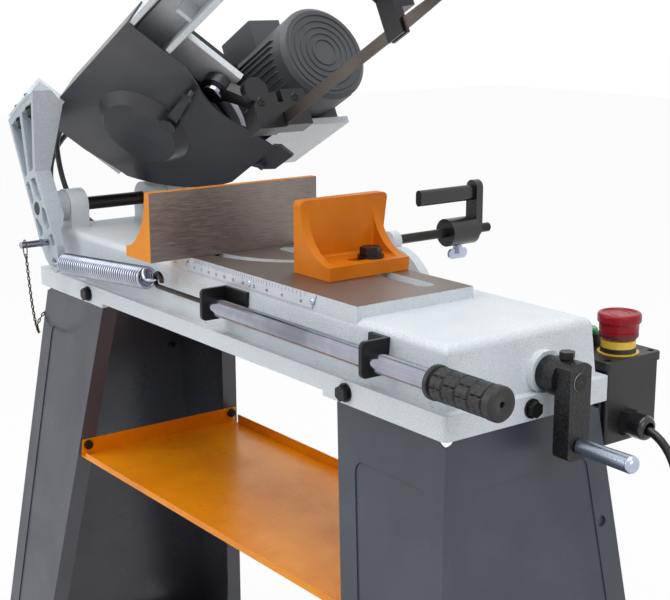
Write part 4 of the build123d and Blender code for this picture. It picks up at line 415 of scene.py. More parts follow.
def carry(outline, path):
    """Outline carried along a path: path point plus outline x and y along the two crosswise directions."""
    _, across, upward = travel_frames(path)
    x, y = outline[None, :, :1], outline[None, :, 1:]
    return rings(path[:, None] + x * across[:, None] + y * upward[:, None])


def lathe(profile, centre, axis, sides):
    """Profile of (distance along the axis, radius) in millimetres, turned about the axis from the centre."""
    profile = MM * np.array(profile)
    across = square_to(axis)
    spokes = circle(1.0, sides)
    spokes = spokes[:, :1] * across + spokes[:, 1:] * np.cross(axis, across)
    return rings(centre + profile[:, None, :1] * axis + profile[:, None, 1:] * spokes[None])


def block(low, high):
    """Box between two corners."""
    x, y, z = np.stack((low, high), axis=1)
    base = np.array(((x[0], y[0]), (x[1], y[0]), (x[1], y[1]), (x[0], y[1])))
    return rings(np.stack([np.column_stack((base, np.full(4, h))) for h in z]))


def drawn_shape(holder):
    """Points and faces of a curve or text object as Blender draws it."""
    bpy.context.view_layer.update()
    drawn = bpy.data.meshes.new_from_object(holder.evaluated_get(bpy.context.evaluated_depsgraph_get()))
    points = np.empty(3 * len(drawn.vertices))
    drawn.vertices.foreach_get("co", points)
    faces = [list(face.vertices) for face in drawn.polygons]
    bpy.data.meshes.remove(drawn)
    return points.reshape(-1, 3), faces


def gather(shapes):
    """Several shapes as one list of points and faces."""
    starts = np.cumsum([0] + [len(points) for points, _ in shapes[:-1]])
    faces = [[v + s for v in face] for (_, group), s in zip(shapes, starts.tolist()) for face in group]
    return np.concatenate([points for points, _ in shapes]), faces


def make_piece(name, shapes, body, finish_name, sharp=40):
    """A mesh piece of one or more shapes that rides on a body; edges past the sharp angle stay crisp."""
    points, faces = gather(shapes)
    mesh = bpy.data.meshes.new(name)
    mesh.from_pydata(points.tolist(), [], faces)
    mesh.polygons.foreach_set("use_smooth", np.ones(len(mesh.polygons), bool))
    mesh.set_sharp_from_angle(angle=np.radians(sharp))
    mesh.materials.append(FINISHES[finish_name])
    piece = add_object(name, mesh)
    if body:
        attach(piece, body)
    print(name, len(mesh.vertices), "points")
    return piece


# %% [markdown]
# ## Directions of the bow
# The bow is tilted up 27.5 degrees about its pivot, and the blade loop lies in a plane tilted 45 degrees
# about the bow. Pieces on the bow are placed with these directions, so they follow the drawing of the saw.

# %% Directions of the bow
TILT = np.radians(27.5)
PIVOT = np.array((-0.339, 0.0, 0.6205))
BOW_ALONG = np.array((np.cos(TILT), 0, np.sin(TILT)))
BOW_UP = np.array((-np.sin(TILT), 0, np.cos(TILT)))
BACK, FRONT, UP = np.array((0.0, 1.0, 0.0)), np.array((0.0, -1.0, 0.0)), np.array((0.0, 0.0, 1.0))
RIGHT = np.array((1.0, 0.0, 0.0))
HALF = np.sqrt(0.5)
LOOP_UP = HALF * BOW_UP - HALF * BACK
LOOP_OUT = -HALF * BOW_UP - HALF * BACK
LOOP_CENTRE = np.array((-0.26137, 0.0133, 0.72258))


def on_bow(x, y, z):
    """Point of the bow: x along it, y to the rear, z square to it, in millimetres."""
    return PIVOT + MM * (x * BOW_ALONG + z * BOW_UP) + MM * y * BACK


print("bow direction", np.round(BOW_ALONG, 4).tolist())

# %% [markdown]
# ## Feed spring
# A close wound extension spring of bright wire. Its middle line is a helix, and each end bends across the
# coil into a hook. The bow pulls one end and the adjuster rod the other. The wire is made as two tubes along
# one line that meet at a turn; both are fixed where they are drawn.
# Painted shade darkens the wire between the turns: an Ambient Occlusion node, which is low in narrow gaps,
# mixes a dark colour into the wire's own.

# %% Feed spring
SPRING_PLACE = MM * np.array((-296.81, -108.25, 561.46))
SPRING_ALONG = np.array((0.9969, 0.0324, 0.0717))
SPRING_SIDE = np.array((0.0323, -0.9995, 0.0023))
SPRING_DOWN = np.array((0.0718, 0.0, -0.9974))
COIL_RADIUS, COIL_PITCH, COIL_TURNS, COIL_START, FAR_GAP = 10.5, 4.7077, 39, 20.0, 12
HOOK, HOOK_EXTRA, HOOK_ROOM, WIRE, WIRE_SIDES = 8.0, 0.15, 5.0, 1.8, 10
SEAM_TURN, TURN_POINTS, HOOK_POINTS, RISE_POINTS = 23, 30, 26, 14
HOOK_WAY, COIL_WAY = (0, 0, 22), (26, 0, 1)
# Colour, reach and range of the painted shade between the turns of the wire.
GAP_SHADE, GAP_SHADE_DISTANCE, GAP_SHADE_RANGE = tone(24, 24, 28), 0.003, (0.55, 0.9)


def bend(p, p_way, q, q_way, count):
    """Cubic curve that leaves p along one direction and reaches q along another."""
    t = np.linspace(0, 1, count, endpoint=False)[:, None]
    start, stop = (1 + 2 * t) * (1 - t) ** 2, t**2 * (3 - 2 * t)
    return start * p + t * (1 - t) ** 2 * p_way + stop * q - t**2 * (1 - t) * q_way


def spring_line():
    """Hook, bend, helix, bend and hook in the spring's own axes, in millimetres."""
    far = COIL_START + COIL_TURNS * COIL_PITCH + FAR_GAP
    arc = np.linspace(HOOK_EXTRA * np.pi, -np.pi, HOOK_POINTS, endpoint=False)
    near_hook = np.stack((HOOK * np.cos(arc), 0 * arc, HOOK + HOOK * np.sin(arc)), axis=1)
    arc = np.linspace(0, (1 + HOOK_EXTRA) * np.pi, HOOK_POINTS)
    far_hook = np.stack((HOOK * np.cos(arc), 0 * arc, far + HOOK * np.sin(arc)), axis=1)
    angle = np.linspace(0, 2 * np.pi * COIL_TURNS, TURN_POINTS * COIL_TURNS)
    helix = np.stack((COIL_RADIUS * np.sin(angle), -COIL_RADIUS * np.cos(angle),
                      COIL_START + COIL_PITCH * angle / (2 * np.pi)), axis=1)
    rise = bend((-HOOK, 0, HOOK), HOOK_WAY, helix[0], COIL_WAY, RISE_POINTS)
    fall = bend(helix[-1], COIL_WAY, (HOOK, 0, far), HOOK_WAY, RISE_POINTS + 1)[1:]
    return np.concatenate((near_hook, rise, helix, fall, far_hook))


line = SPRING_PLACE + MM * (spring_line() @ np.stack((SPRING_SIDE, SPRING_DOWN, SPRING_ALONG)))
seam = HOOK_POINTS + RISE_POINTS + SEAM_TURN * TURN_POINTS
near_end, rest_turn, far_end = (tuple(SPRING_PLACE + MM * z * SPRING_ALONG) for z in (
    COIL_START - HOOK_ROOM, COIL_START + SEAM_TURN * COIL_PITCH,
    COIL_START + COIL_TURNS * COIL_PITCH + HOOK_ROOM))
for name, part, body, end in (("feed_spring_wire", line[:seam + 1], "bow", near_end),
                              ("feed_spring_far", line[seam:], "rod", far_end)):
    wire = make_piece(name, [carry(circle(MM * WIRE, WIRE_SIDES), part)], None, "spring wire")
    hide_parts("feed_spring")
    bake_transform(wire)
# Painted shade: the wire's colour goes dark where Ambient Occlusion finds the narrow gaps between turns.
tree = FINISHES["spring wire"].node_tree
bright = tree.nodes["Principled BSDF"].inputs["Base Color"]
gap_occlusion = put(tree, "AmbientOcclusion", {"Distance": GAP_SHADE_DISTANCE}, samples=16).outputs["AO"]
gap_shaded = blend_colour(tree, spread(tree, gap_occlusion, *GAP_SHADE_RANGE), GAP_SHADE, bright.links[0].from_socket)
tree.links.new(gap_shaded, bright)

# %% [markdown]
# ## Cords
# A cord is one smooth NURBS line along the route that the CAD tube takes, with a round bevel. The mains
# cord leaves the gland of the control box, falls to the floor, and its spare length is wound into a coil.
# The two cables between bow and bed are mesh tubes carried along such lines, fixed where they are drawn.

# %% Cord helpers
def cord_line(name, points, radius):
    """NURBS curve of order 3 with the route's points as its control points; the points carry the radius."""
    curve = bpy.data.curves.new(name, "CURVE")
    curve.dimensions = "3D"
    curve.resolution_u = 8
    curve.bevel_depth = 1.0 if radius else 0.0
    curve.bevel_resolution = 4
    curve.use_fill_caps = True
    spline = curve.splines.new("NURBS")
    spline.points.add(len(points) - 1)
    spline.points.foreach_set("co", np.column_stack((points, np.ones(len(points)))).ravel())
    spline.points.foreach_set("radius", np.full(len(points), radius))
    spline.order_u = 3
    spline.use_endpoint_u = True
    cable = add_object(name, curve)
    curve.materials.append(FINISHES["cord skin"])
    return cable


def line_length(cable):
    """Length of a curve's own middle line, and its points, read with no bevel."""
    depth, cable.data.bevel_depth = cable.data.bevel_depth, 0.0
    points, _ = drawn_shape(cable)
    cable.data.bevel_depth = depth
    bpy.context.view_layer.update()
    return np.linalg.norm(np.diff(points, axis=0), axis=1).sum(), points


def route_line(points):
    """Length and closely spaced points of the smooth line along a route."""
    route = cord_line("route", points, 0.0)
    length, drawn = line_length(route)
    bpy.data.objects.remove(route)
    return length, drawn


# %% Mains cord
MAINS_DIAMETER, COIL_CENTRE, COIL_LIFT, TAIL = 0.008, np.array((527.0, 333.5, 4.2)), 8.8, 26
COIL_HALVES, INNER_HALF, CLIMB_HALF = (52.6, 48.2, 43.8, 39.4), 35.0, 4
FALL_ROUTE = ((385, 127.5, 492), (417, 127.5, 492), (440, 130.5, 429), (453, 136.5, 360), (463, 145.5, 258),
              (473, 157.5, 152), (491, 175.5, 76), (517, 219.5, 6.2), (579.6, 267.5, 4.2))


def coil_points(per_half=16):
    """Half turns of falling then rising radius, each a half circle that starts where the last one stopped.

    The control points lie a little outside the circle, so that the smooth line between them follows it."""
    widen = 2 / (1 + np.cos(np.pi / per_half))
    start, rows = COIL_CENTRE + (COIL_HALVES[0], 0, 0), []
    for k, radius in enumerate(COIL_HALVES + (INNER_HALF,) + COIL_HALVES[::-1]):
        way = 1 if k % 2 == 0 else -1
        angle = np.pi * (k + (np.arange(per_half) + 0.5) / per_half)
        centre = start - (way * radius, 0, 0)
        height = COIL_CENTRE[2] + COIL_LIFT * np.clip(angle / np.pi - CLIMB_HALF, 0, 1)
        reach = widen * radius
        half = np.stack((reach * np.cos(angle), reach * np.sin(angle), height), axis=1)
        rows.append(centre * (1, 1, 0) + half)
        start = centre - (way * radius, 0, 0)
    return np.concatenate(rows), start


wound, wound_end = coil_points()
tail = wound_end + np.array(((0, 0, COIL_LIFT), (0, -TAIL, COIL_LIFT), (0, -2 * TAIL, COIL_LIFT)))
mains_points = MM * np.concatenate((np.array(FALL_ROUTE), wound, tail))
mains = cord_line("mains_cord", mains_points, MAINS_DIAMETER / 2)
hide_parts("power_cord", "power_cord_coil")
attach(mains, "base")
mains_length = round(float(line_length(mains)[0]), 3)
print("mains cord", mains_length, "m")

# %% Cables between bow and bed
CABLE_DIAMETER, CABLE_SIDES = 0.0068, 14
CABLES = {
    "motor_cable": ((-383.3, -33.4, 711.7), (-423, -37.5, 694), (-456, -41, 653), (-443, -41.5, 608),
                    (-411, -38.5, 578), (-363.8, -36.5, 572)),
    "switch_cable": ((-386.6, -44.7, 718), (-420, -46.5, 698), (-424, -41.5, 656), (-413, -36.5, 620),
                     (-391, -30.5, 598), (-362.8, -24.5, 588)),
}
for name, points in CABLES.items():
    length, drawn = route_line(MM * np.array(points))
    length = round(float(length), 3)
    tube = carry(circle(CABLE_DIAMETER / 2, CABLE_SIDES), drawn)
    cable = make_piece(name + "_line", [tube], None, "cord skin")
    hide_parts(name)
    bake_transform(cable)
    print(name, length, "m")

# %% [markdown]
# ## Lock pin chain
# A fine twisted chain keeps the lock pin with the saw. Its links are small oval rings, set one after the
# other along the hanging line, each turned a quarter from the last, and a longer wire ring holds the pin.

# %% Lock pin chain
CHAIN_ROUTE = MM * np.array((
    (-312, -142.5, 579.2), (-318, -137.5, 542), (-324, -132.5, 508), (-333, -125, 480), (-346, -115.5, 467),
    (-360, -110.5, 464), (-380.5, -103.5, 470), (-376.0, -90.5, 487)))
LINK_LENGTH, LINK_WIDTH, LINK_WIRE, LINK_STEP = 7.0 * MM, 4.2 * MM, 0.75 * MM, 4.7 * MM
FIRST_LINK, LAST_ROOM, FIRST_TURN, LINK_TURN = 0.010, 0.001, 45, 90
RING_LIFT, RING_LENGTH, RING_WIDTH, RING_WIRE = 0.1 * MM, 22 * MM, 12 * MM, 0.7 * MM


def link_ring(middle, along, across, length, width, wire, around=14, sides=6):
    """Oval ring: an ellipse in the plane of two directions with a small circle carried round it."""
    t, s = full_turn(around)[:, None], full_turn(sides)[None, :, None]
    spine = (length / 2 - wire) * np.cos(t) * along + (width / 2 - wire) * np.sin(t) * across
    outward = unit(np.cos(t) * along + np.sin(t) * across)
    square = np.cross(along, across)
    points = middle + spine[:, None] + wire * (np.cos(s) * outward[:, None] + np.sin(s) * square)
    faces = np.array(grid_faces(around + 1, sides)) % (around * sides)
    return points.reshape(-1, 3), faces.tolist()


chain_length, route_points = route_line(CHAIN_ROUTE)
travelled = np.concatenate(((0,), np.cumsum(np.linalg.norm(np.diff(route_points, axis=0), axis=1))))
steps = np.arange(FIRST_LINK, chain_length - LAST_ROOM, LINK_STEP)
middles = np.stack([np.interp(steps, travelled, route_points[:, k]) for k in range(3)], axis=1)
along, across, upward = travel_frames(middles)
shapes = []
for k in range(len(middles)):
    turn = np.radians(FIRST_TURN + LINK_TURN * (k % 2))
    sideways = np.cos(turn) * across[k] + np.sin(turn) * upward[k]
    shapes.append(link_ring(middles[k], along[k], sideways, LINK_LENGTH, LINK_WIDTH, LINK_WIRE))
pin_ring = link_ring(CHAIN_ROUTE[0] + (0, 0, RING_LIFT), UP, RIGHT, RING_LENGTH, RING_WIDTH, RING_WIRE, 28, 8)
chain = make_piece("pin_chain_links", shapes + [pin_ring], None, "chain brown")
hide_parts("pin_chain")
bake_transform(chain)

# %% [markdown]
# ## Angle scale
# The plate on the front of the bed is divided in degrees. A line from the jaw's pivot at each angle meets
# the plate at a distance that grows with the tangent of the angle, so the marks spread to the right.

# %% Angle scale
SCALE_LOW, SCALE_HIGH = (np.array(corner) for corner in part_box("angle_scale"))
ZERO_X, PIVOT_DISTANCE, LAST_DEGREE, NUMBER_STEP = -25.0 * MM, 158.0 * MM, 51, 5
MARK, MARK_HALF, LONG_MARK, SHORT_MARK = 0.12 * MM, 0.144 * MM, 5.2 * MM, 3.4 * MM
MARK_MARGIN, NUMBER_LIFT, NUMBER_HEIGHT = 0.4 * MM, 2.4 * MM, 4.2 * MM
plate_y, mark_top = SCALE_LOW[1], SCALE_HIGH[2] - MARK_MARGIN


def degree_x(degree):
    """Place of a degree along the plate: the zero plus the pivot distance times the tangent."""
    return ZERO_X + PIVOT_DISTANCE * np.tan(np.radians(degree))


def number_shape(text, place):
    """Text made a mesh on the plate: its own x, y and z point to the right, up and to the front."""
    font = bpy.data.curves.new("number", "FONT")
    font.body, font.size, font.extrude, font.align_x = text, NUMBER_HEIGHT, MARK, "CENTER"
    holder = add_object("number", font)
    points, faces = drawn_shape(holder)
    bpy.data.objects.remove(holder)
    return place + points @ np.stack((RIGHT, UP, FRONT)), faces


shapes = []
for degree in range(LAST_DEGREE + 1):
    x, long = degree_x(degree), SHORT_MARK if degree % NUMBER_STEP else LONG_MARK
    low = (x - MARK_HALF, plate_y - MARK, mark_top - long)
    shapes.append(block(low, (x + MARK_HALF, plate_y + MARK, mark_top)))
make_piece("scale_marks", shapes, "base", "ink and hole shade")
numbers = [number_shape(str(degree), (degree_x(degree), plate_y, SCALE_LOW[2] + NUMBER_LIFT))
           for degree in range(0, LAST_DEGREE + 1, NUMBER_STEP)]
make_piece("scale_numbers", numbers, "base", "ink and hole shade")

# %% [markdown]
# ## Blade
# The band runs over both wheels in the plane of the loop, and between the guides it is twisted by 45
# degrees so that its teeth look straight down. The band is a thin strip carried round that line with its
# edge direction given at every point. Each tooth is a small wedge on the front edge, set to one side and the
# other in turn.

# %% Blade band and teeth
LOOP_RADIUS, WHEEL_SPAN, BAND_HALF, BAND_THICK, BAND_STEPS = 93.625, 527.0, 6.5, 0.65, 420
TWIST_IN, TWIST_OUT = (14.0, 125.0), (392.0, 513.0)
TOOTH_PITCH, TOOTH_SET, TOOTH_THICK = 2.1, 0.14, 0.98
TOOTH_OUTLINE = ((-0.9, 6.2), (0.9, 6.2), (0.75, 7.4))


def band_places(s):
    """Point, travel and edge direction at distance s along lower run, idler half, upper run and drive half."""
    half_turn = np.pi * LOOP_RADIUS
    bounds = np.cumsum((WHEEL_SPAN, half_turn, WHEEL_SPAN, half_turn))
    s = np.mod(s, bounds[-1])
    lower, idler = s < bounds[0], (s >= bounds[0]) & (s < bounds[1])
    upper = (s >= bounds[1]) & (s < bounds[2])
    angle = np.where(idler, (s - bounds[0]) / LOOP_RADIUS - np.pi / 2,
                     (s - bounds[2]) / LOOP_RADIUS + np.pi / 2)
    u = np.select((lower, idler, upper), (s, WHEEL_SPAN + LOOP_RADIUS * np.cos(angle), bounds[2] - s),
                  LOOP_RADIUS * np.cos(angle))
    w = np.select((lower, upper), (-LOOP_RADIUS, LOOP_RADIUS), LOOP_RADIUS * np.sin(angle))
    go_u = np.select((lower, upper), (1.0, -1.0), -np.sin(angle))
    go_w = np.where(lower | upper, 0.0, np.cos(angle))
    twist = np.clip((u - TWIST_IN[0]) / (TWIST_IN[1] - TWIST_IN[0]), 0, 1)
    twist = np.minimum(twist, np.clip((TWIST_OUT[1] - u) / (TWIST_OUT[1] - TWIST_OUT[0]), 0, 1))
    twist = np.where(lower, twist * np.pi / 4, 0)[:, None]
    points = LOOP_CENTRE + MM * (u[:, None] * BOW_ALONG + w[:, None] * LOOP_UP)
    travel = go_u[:, None] * BOW_ALONG + go_w[:, None] * LOOP_UP
    return points, travel, np.cos(twist) * LOOP_OUT - np.sin(twist) * LOOP_UP


loop_length = 2 * WHEEL_SPAN + 2 * np.pi * LOOP_RADIUS
middle, travel, edge = band_places(np.linspace(0, loop_length, BAND_STEPS, endpoint=False))
thick = np.cross(travel, edge)
corners = ((-BAND_HALF, -0.5), (BAND_HALF, -0.5), (BAND_HALF, 0.5), (-BAND_HALF, 0.5))
strip = np.stack([middle + MM * (a * edge + b * BAND_THICK * thick) for a, b in corners], axis=1)
strip_faces = np.array(grid_faces(BAND_STEPS + 1, 4)) % (4 * BAND_STEPS)
tooth_count = int(loop_length / TOOTH_PITCH)
middle, travel, edge = band_places(np.arange(tooth_count) * loop_length / tooth_count)
thick = np.cross(travel, edge)
lean = np.where(np.arange(tooth_count) % 2, TOOTH_SET, -TOOTH_SET)[:, None]
wedge = []
for side in (-0.5, 0.5):
    for step, out in TOOTH_OUTLINE:
        shift = side * BAND_THICK * TOOTH_THICK + (lean if out > BAND_HALF else 0)
        wedge.append(middle + MM * (step * travel + out * edge + shift * thick))
wedge = np.stack(wedge, axis=1)
wedge_faces = [[0, 2, 1], [3, 4, 5], [0, 1, 4, 3], [1, 2, 5, 4], [2, 0, 3, 5]]
tooth_faces = [[v + 6 * k for v in face] for k in range(tooth_count) for face in wedge_faces]
band_shapes = [(strip.reshape(-1, 3), strip_faces.tolist()), (wedge.reshape(-1, 3), tooth_faces)]
band = make_piece("blade_band", band_shapes, "bow", "blade steel", sharp=30)
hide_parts("blade")
print("blade", round(loop_length), "mm,", tooth_count, "teeth")

# %% [markdown]
# ## Rubber grip
# The grip of the feed adjuster has rings of raised pads, each ring shifted by half a pad. Its radius is a
# function of the distance along the grip and of the angle: a core plus a soft-edged pad height.

# %% Rubber grip
GRIP_CENTRE = MM * np.array((370.0, -101.0, 570.5))
PAD_RINGS, PADS_ROUND, PAD_HEIGHT, CORE, PAD_STEP = 4, 8, 1.7, 12.3, 15.0
PAD_START, PAD_MARGIN, PAD_GAP, PAD_SLOPE = 6, 1.1, 0.07, 11
NOTCH_DEPTH, NOTCH_HALF, NOTCH_SPAN = 0.45, 1.2, 0.22
NEAR_FLANGE, FAR_FLANGE, RIM = (4.2, 2.5), (67.0, 2.1), (74.9, 1.4)
END_FACE = ((76.0, 12.0), (76.0, 3.0), (75.4, 2.4), (69.5, 2.0))
GRIP_SPANS, GRIP_SIDES = ((0, 6, 18), (6.2, 66.5, 170), (66.8, 75.9, 34)), 144


def soft_step(x, width):
    """0 below, 1 above, with a smooth ramp of the width about zero."""
    t = np.clip(x / width + 0.5, 0, 1)
    return t * t * (3 - 2 * t)


def grip_radius(x, angle):
    """Core radius, end flanges, and pads that repeat round and along with a half shift on every other ring."""
    ring = np.clip(np.floor((x - PAD_START) / PAD_STEP), 0, PAD_RINGS - 1)
    along = (x - PAD_START) - PAD_STEP * ring
    turn = np.abs(np.mod(angle / (2 * np.pi) * PADS_ROUND + 0.5 * ring, 1.0) - 0.5)
    pad = (soft_step(np.minimum(along - PAD_MARGIN, PAD_STEP - PAD_MARGIN - along), 1.3)
           * soft_step((0.5 - turn - PAD_GAP) * PAD_SLOPE, 1.2))
    notch = 1 - NOTCH_DEPTH * soft_step(NOTCH_HALF - np.abs(along - PAD_STEP / 2), 1.0) * (turn > NOTCH_SPAN)
    flange = np.maximum(soft_step(NEAR_FLANGE[0] - x, 0.8) * NEAR_FLANGE[1],
                        soft_step(x - FAR_FLANGE[0], 0.8) * FAR_FLANGE[1])
    return CORE + np.maximum(PAD_HEIGHT * pad * notch, flange) - RIM[1] * soft_step(x - RIM[0], 2.0)


place = np.concatenate([np.linspace(*span) for span in GRIP_SPANS])[:, None]
angle = full_turn(GRIP_SIDES)
radius = grip_radius(place, angle[None])
skin = np.stack((place + 0 * radius, radius * np.cos(angle), radius * np.sin(angle)), axis=-1)
end_face = np.stack([np.stack((np.full_like(angle, x), r * np.cos(angle), r * np.sin(angle)), axis=-1)
                     for x, r in END_FACE])
grip_shape = rings(GRIP_CENTRE + MM * np.concatenate((skin, end_face)))
grip = make_piece("grip_rubber", [grip_shape], "adjuster", "rubber", sharp=60)
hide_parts("adjuster_grip")

# %% [markdown]
# ## Small screws
# Pan head screws with a cross recess hold the scale and the guide blocks. A head is a height over a disc:
# a low dome, minus a cross of two narrow grooves that is deepest at the middle.

# %% Small screws
CROSS_HALF, CROSS_REACH, CROSS_DEPTH, DOME_BOW, DOME_EDGE = 0.15, 0.62, 0.62, 0.86, 0.139
SCALE_HEAD, GUIDE_HEAD, LID_HEAD = (3.1, 1.5), (5.6, 1.6), (2.7, 1.2)
SCALE_SCREWS = (((-38.0, 0, 598.2), 0.2), ((77.2, 0, 597.7), 0.7), ((180.9, 0, 598.6), 1.1))
GUIDE_SCREWS = (((269.0, 54.2, 9.7), 0.5), ((269.0, 101.5, 13.3), 0.1))


def cross_head(centre, axis, head, turned):
    """Disc of rings and spokes lifted by a dome, less a cross recess; head is radius and height in mm."""
    radius, height = MM * np.array(head)
    across = square_to(axis)
    r = np.concatenate((np.linspace(0.03, 0.8, 18), np.linspace(0.84, 1.0, 7)))[::-1, None]
    angle = full_turn(48)[None]
    dome = np.sqrt(np.clip(1 - DOME_BOW * r**2 - DOME_EDGE * r**8, 0, 1)) + 0 * angle
    x, y = np.abs(r * np.cos(angle + turned)), np.abs(r * np.sin(angle + turned))
    groove = soft_step(CROSS_HALF - np.minimum(x, y), 0.06) * soft_step(CROSS_REACH - np.maximum(x, y), 0.14)
    lift = height * (dome - CROSS_DEPTH * groove)
    spokes = np.cos(angle)[..., None] * across + np.sin(angle)[..., None] * np.cross(axis, across)
    low = centre + radius * spokes
    top = centre + lift[..., None] * axis + radius * r[..., None] * spokes
    return rings(np.concatenate((low, top)))


scale_screws = [cross_head(MM * np.array(place) + (0, plate_y, 0), FRONT, SCALE_HEAD, turned)
                for place, turned in SCALE_SCREWS]
make_piece("scale_screws", scale_screws, "base", "zinc", sharp=50)
guide_screws = [cross_head(on_bow(*place), BOW_ALONG, GUIDE_HEAD, turned) for place, turned in GUIDE_SCREWS]
make_piece("guide_screws", guide_screws, "bow", "black oxide", sharp=50)

# %% [markdown]
# ## Switch box details
# The stop button is one turned form: its radius depends on the height and, on the lower half of the head,
# also on the angle, which gives the finger ridges. The flat top is dished and has two curved grooves that
# show the way it turns. A black ring stands between its yellow plate and collar, a dark band runs round
# the skirt, and four small screws lie in the holes of the lid.

# %% Switch box details
STOP_PLACE = MM * np.array((351.0, 135.5, 552.0))
STOP_OUTLINE = np.array((
    (15.9, 16.0), (15.0, 16.2), (15.0, 17.6), (15.3, 17.8), (20.0, 17.8), (20.4, 17.3), (21.0, 17.3),
    (21.4, 17.9), (27.2, 18.1), (27.8, 18.5), (28.4, 19.2), (29.2, 19.7), (30.4, 19.9), (32.0, 19.95),
    (34.6, 19.95), (35.6, 19.75), (36.5, 19.2), (37.1, 18.4), (37.35, 17.4), (37.3, 16.6)))
RIDGES, RIDGE_HEIGHT, RIDGE_SPREAD, RIDGE_DEPTH = 30, 30.0, 1.9, 0.45
DISH_FLOOR, DISH_RISE, DISH_RADIUS = 36.1, 1.1, 15.6
ARROW_RADIUS, ARROW_HALF, ARROW_DEPTH = 9.5, 0.8, 0.5
ARROW_MIDDLE, ARROW_SPAN, ARROW_SLOPE = 1.2, 0.9, 9
BAND_OUTLINE = ((16.4, 17.7), (16.5, 17.95), (18.7, 17.95), (18.8, 17.7))
RING_OUTLINE = ((1.2, 15.6), (1.3, 16.3), (5.2, 16.3), (5.6, 15.85))
LID_SCREWS = [(x, y, 547.0) for x in (296.5, 365.5) for y in (105.5, 163.0)]


def stop_button(sides=120):
    """Rings of (height, radius): skirt, groove, ridged head, rounded rim, then the dish down to the middle."""
    angle = full_turn(sides)
    level, radius = STOP_OUTLINE[:, :1], STOP_OUTLINE[:, 1:]
    ridge = RIDGE_DEPTH * np.exp(-(((level - RIDGE_HEIGHT) / RIDGE_SPREAD) ** 2))
    ridge = ridge * (0.5 - 0.5 * np.cos(RIDGES * angle))
    inner = np.concatenate((np.linspace(16.3, 14.8, 6), np.linspace(14.2, 0.4, 30)))[:, None]
    sink = DISH_FLOOR + DISH_RISE * soft_step(inner - DISH_RADIUS, 1.6) + 0 * angle
    sweep = np.abs(np.mod(angle, np.pi) - ARROW_MIDDLE)
    sweep = np.minimum(sweep, np.pi - sweep)
    groove = (soft_step(ARROW_HALF - np.abs(inner - ARROW_RADIUS), 0.5)
              * soft_step((ARROW_SPAN - sweep) * ARROW_SLOPE, 1.0))
    radius = np.concatenate((radius - ridge, inner + 0 * angle))
    height = np.concatenate((level + 0 * angle, sink - ARROW_DEPTH * groove))
    points = np.stack((radius * np.cos(angle), radius * np.sin(angle), height), axis=-1)
    return rings(STOP_PLACE + MM * points)


button = make_piece("estop_head", [stop_button()], "estop", "red plastic", sharp=50)
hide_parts("estop_button")
make_piece("estop_band", [lathe(BAND_OUTLINE, STOP_PLACE, UP, 64)], "estop", "dark red")
make_piece("estop_ring", [lathe(RING_OUTLINE, STOP_PLACE, UP, 64)], "base", "plastic")
lid_screws = [cross_head(MM * np.array(place), UP, LID_HEAD, 0.3 + k) for k, place in enumerate(LID_SCREWS)]
make_piece("lid_screws", lid_screws, "base", "black oxide", sharp=50)

# %% [markdown]
# ## Turned end of the vise screw
# The screw ends flush with the crank in a dark turned face, as left by the lathe. A black disc at its
# middle is painted shade for the centre hole.

# %% Turned end of the vise screw
SCREW_END = MM * np.array((412.5, 21.5, 557.7))
END_OUTLINE = ((-0.6, 7.9), (0.0, 7.7), (0.12, 7.3), (0.12, 5.0), (0.06, 4.9), (0.06, 2.0), (0.02, 1.7),
               (0.02, 0.02))
# A thin black disc on the centre recess: painted shade for the centre hole.
HOLE_SHADE_OUTLINE = ((0.02, 1.7), (0.04, 1.5), (0.04, 0.02))
turned_face = lathe(END_OUTLINE, SCREW_END, RIGHT, 48)
make_piece("screw_end", [turned_face], "screw", "shaft steel", sharp=30)
make_piece("screw_centre_shade", [lathe(HOLE_SHADE_OUTLINE, SCREW_END, RIGHT, 24)], "screw", "ink and hole shade")

# %% [markdown]
# ## Motor
# Cooling fins run along the motor's case. Each fin is a thin tapered bar on the round case, left out where
# the foot and the terminal box are. Raised rings on the end away from the belt stand for the fan guard.

# %% Motor
MOTOR_AXIS = on_bow(0.0, 171.5, 72.0)
FIN_STEP, BOX_GAP, FOOT_GAP, FIN_FOOT, FOOT_HALF, TOP_HALF = 8, (62, 152), (228, 312), 57.0, 1.1, 0.7
FIN_LINE = ((84.0, 58.2), (87.0, 60.9), (231.0, 60.9), (234.0, 58.2))
GUARD_PLACE, GUARD_RADII, GUARD_WIRE = 256.4, (16.0, 24.0, 32.0, 40.0, 48.0), 1.3
fins = []
for degrees in range(0, 360, FIN_STEP):
    if BOX_GAP[0] < degrees < BOX_GAP[1] or FOOT_GAP[0] < degrees < FOOT_GAP[1]:
        continue
    a = np.radians(degrees)
    out = np.cos(a) * BACK + np.sin(a) * BOW_UP
    across = np.cross(out, BOW_ALONG)
    rows = []
    for x, top in FIN_LINE:
        middle = MOTOR_AXIS + MM * x * BOW_ALONG
        section = ((FIN_FOOT, -FOOT_HALF), (top, -TOP_HALF), (top, TOP_HALF), (FIN_FOOT, FOOT_HALF))
        rows.append([middle + MM * (r * out + s * across) for r, s in section])
    fins.append(rings(np.array(rows)))
make_piece("motor_fins", fins, "bow", "motor paint", sharp=30)
t = np.linspace(0, 2 * np.pi, 49)[:, None]
round_axis = np.cos(t) * BACK + np.sin(t) * BOW_UP
guard = [carry(circle(GUARD_WIRE * MM, 6), MOTOR_AXIS + MM * (GUARD_PLACE * BOW_ALONG + radius * round_axis))
         for radius in GUARD_RADII]
make_piece("fan_guard", guard, "bow", "motor paint")

# %% [markdown]
# ## Floor and light
# The floor and the world read white to the camera, to mirrors and to glass, through Light Path, and give the
# object only plain light. The light itself is a soft dome, bright overhead and dim below. The floor keeps a
# soft shadow. Large soft lamps stand above, in front and at the crank end.

# %% Floor
FLOOR_SIZE, FLOOR_LEVEL, FLOOR_SHARE = 16.0, -0.0005, 0.93
FLOOR_GREY, FLOOR_ROUGH, WHITE = (0.8, 0.8, 0.8, 1), 0.9, (1, 1, 1, 1)


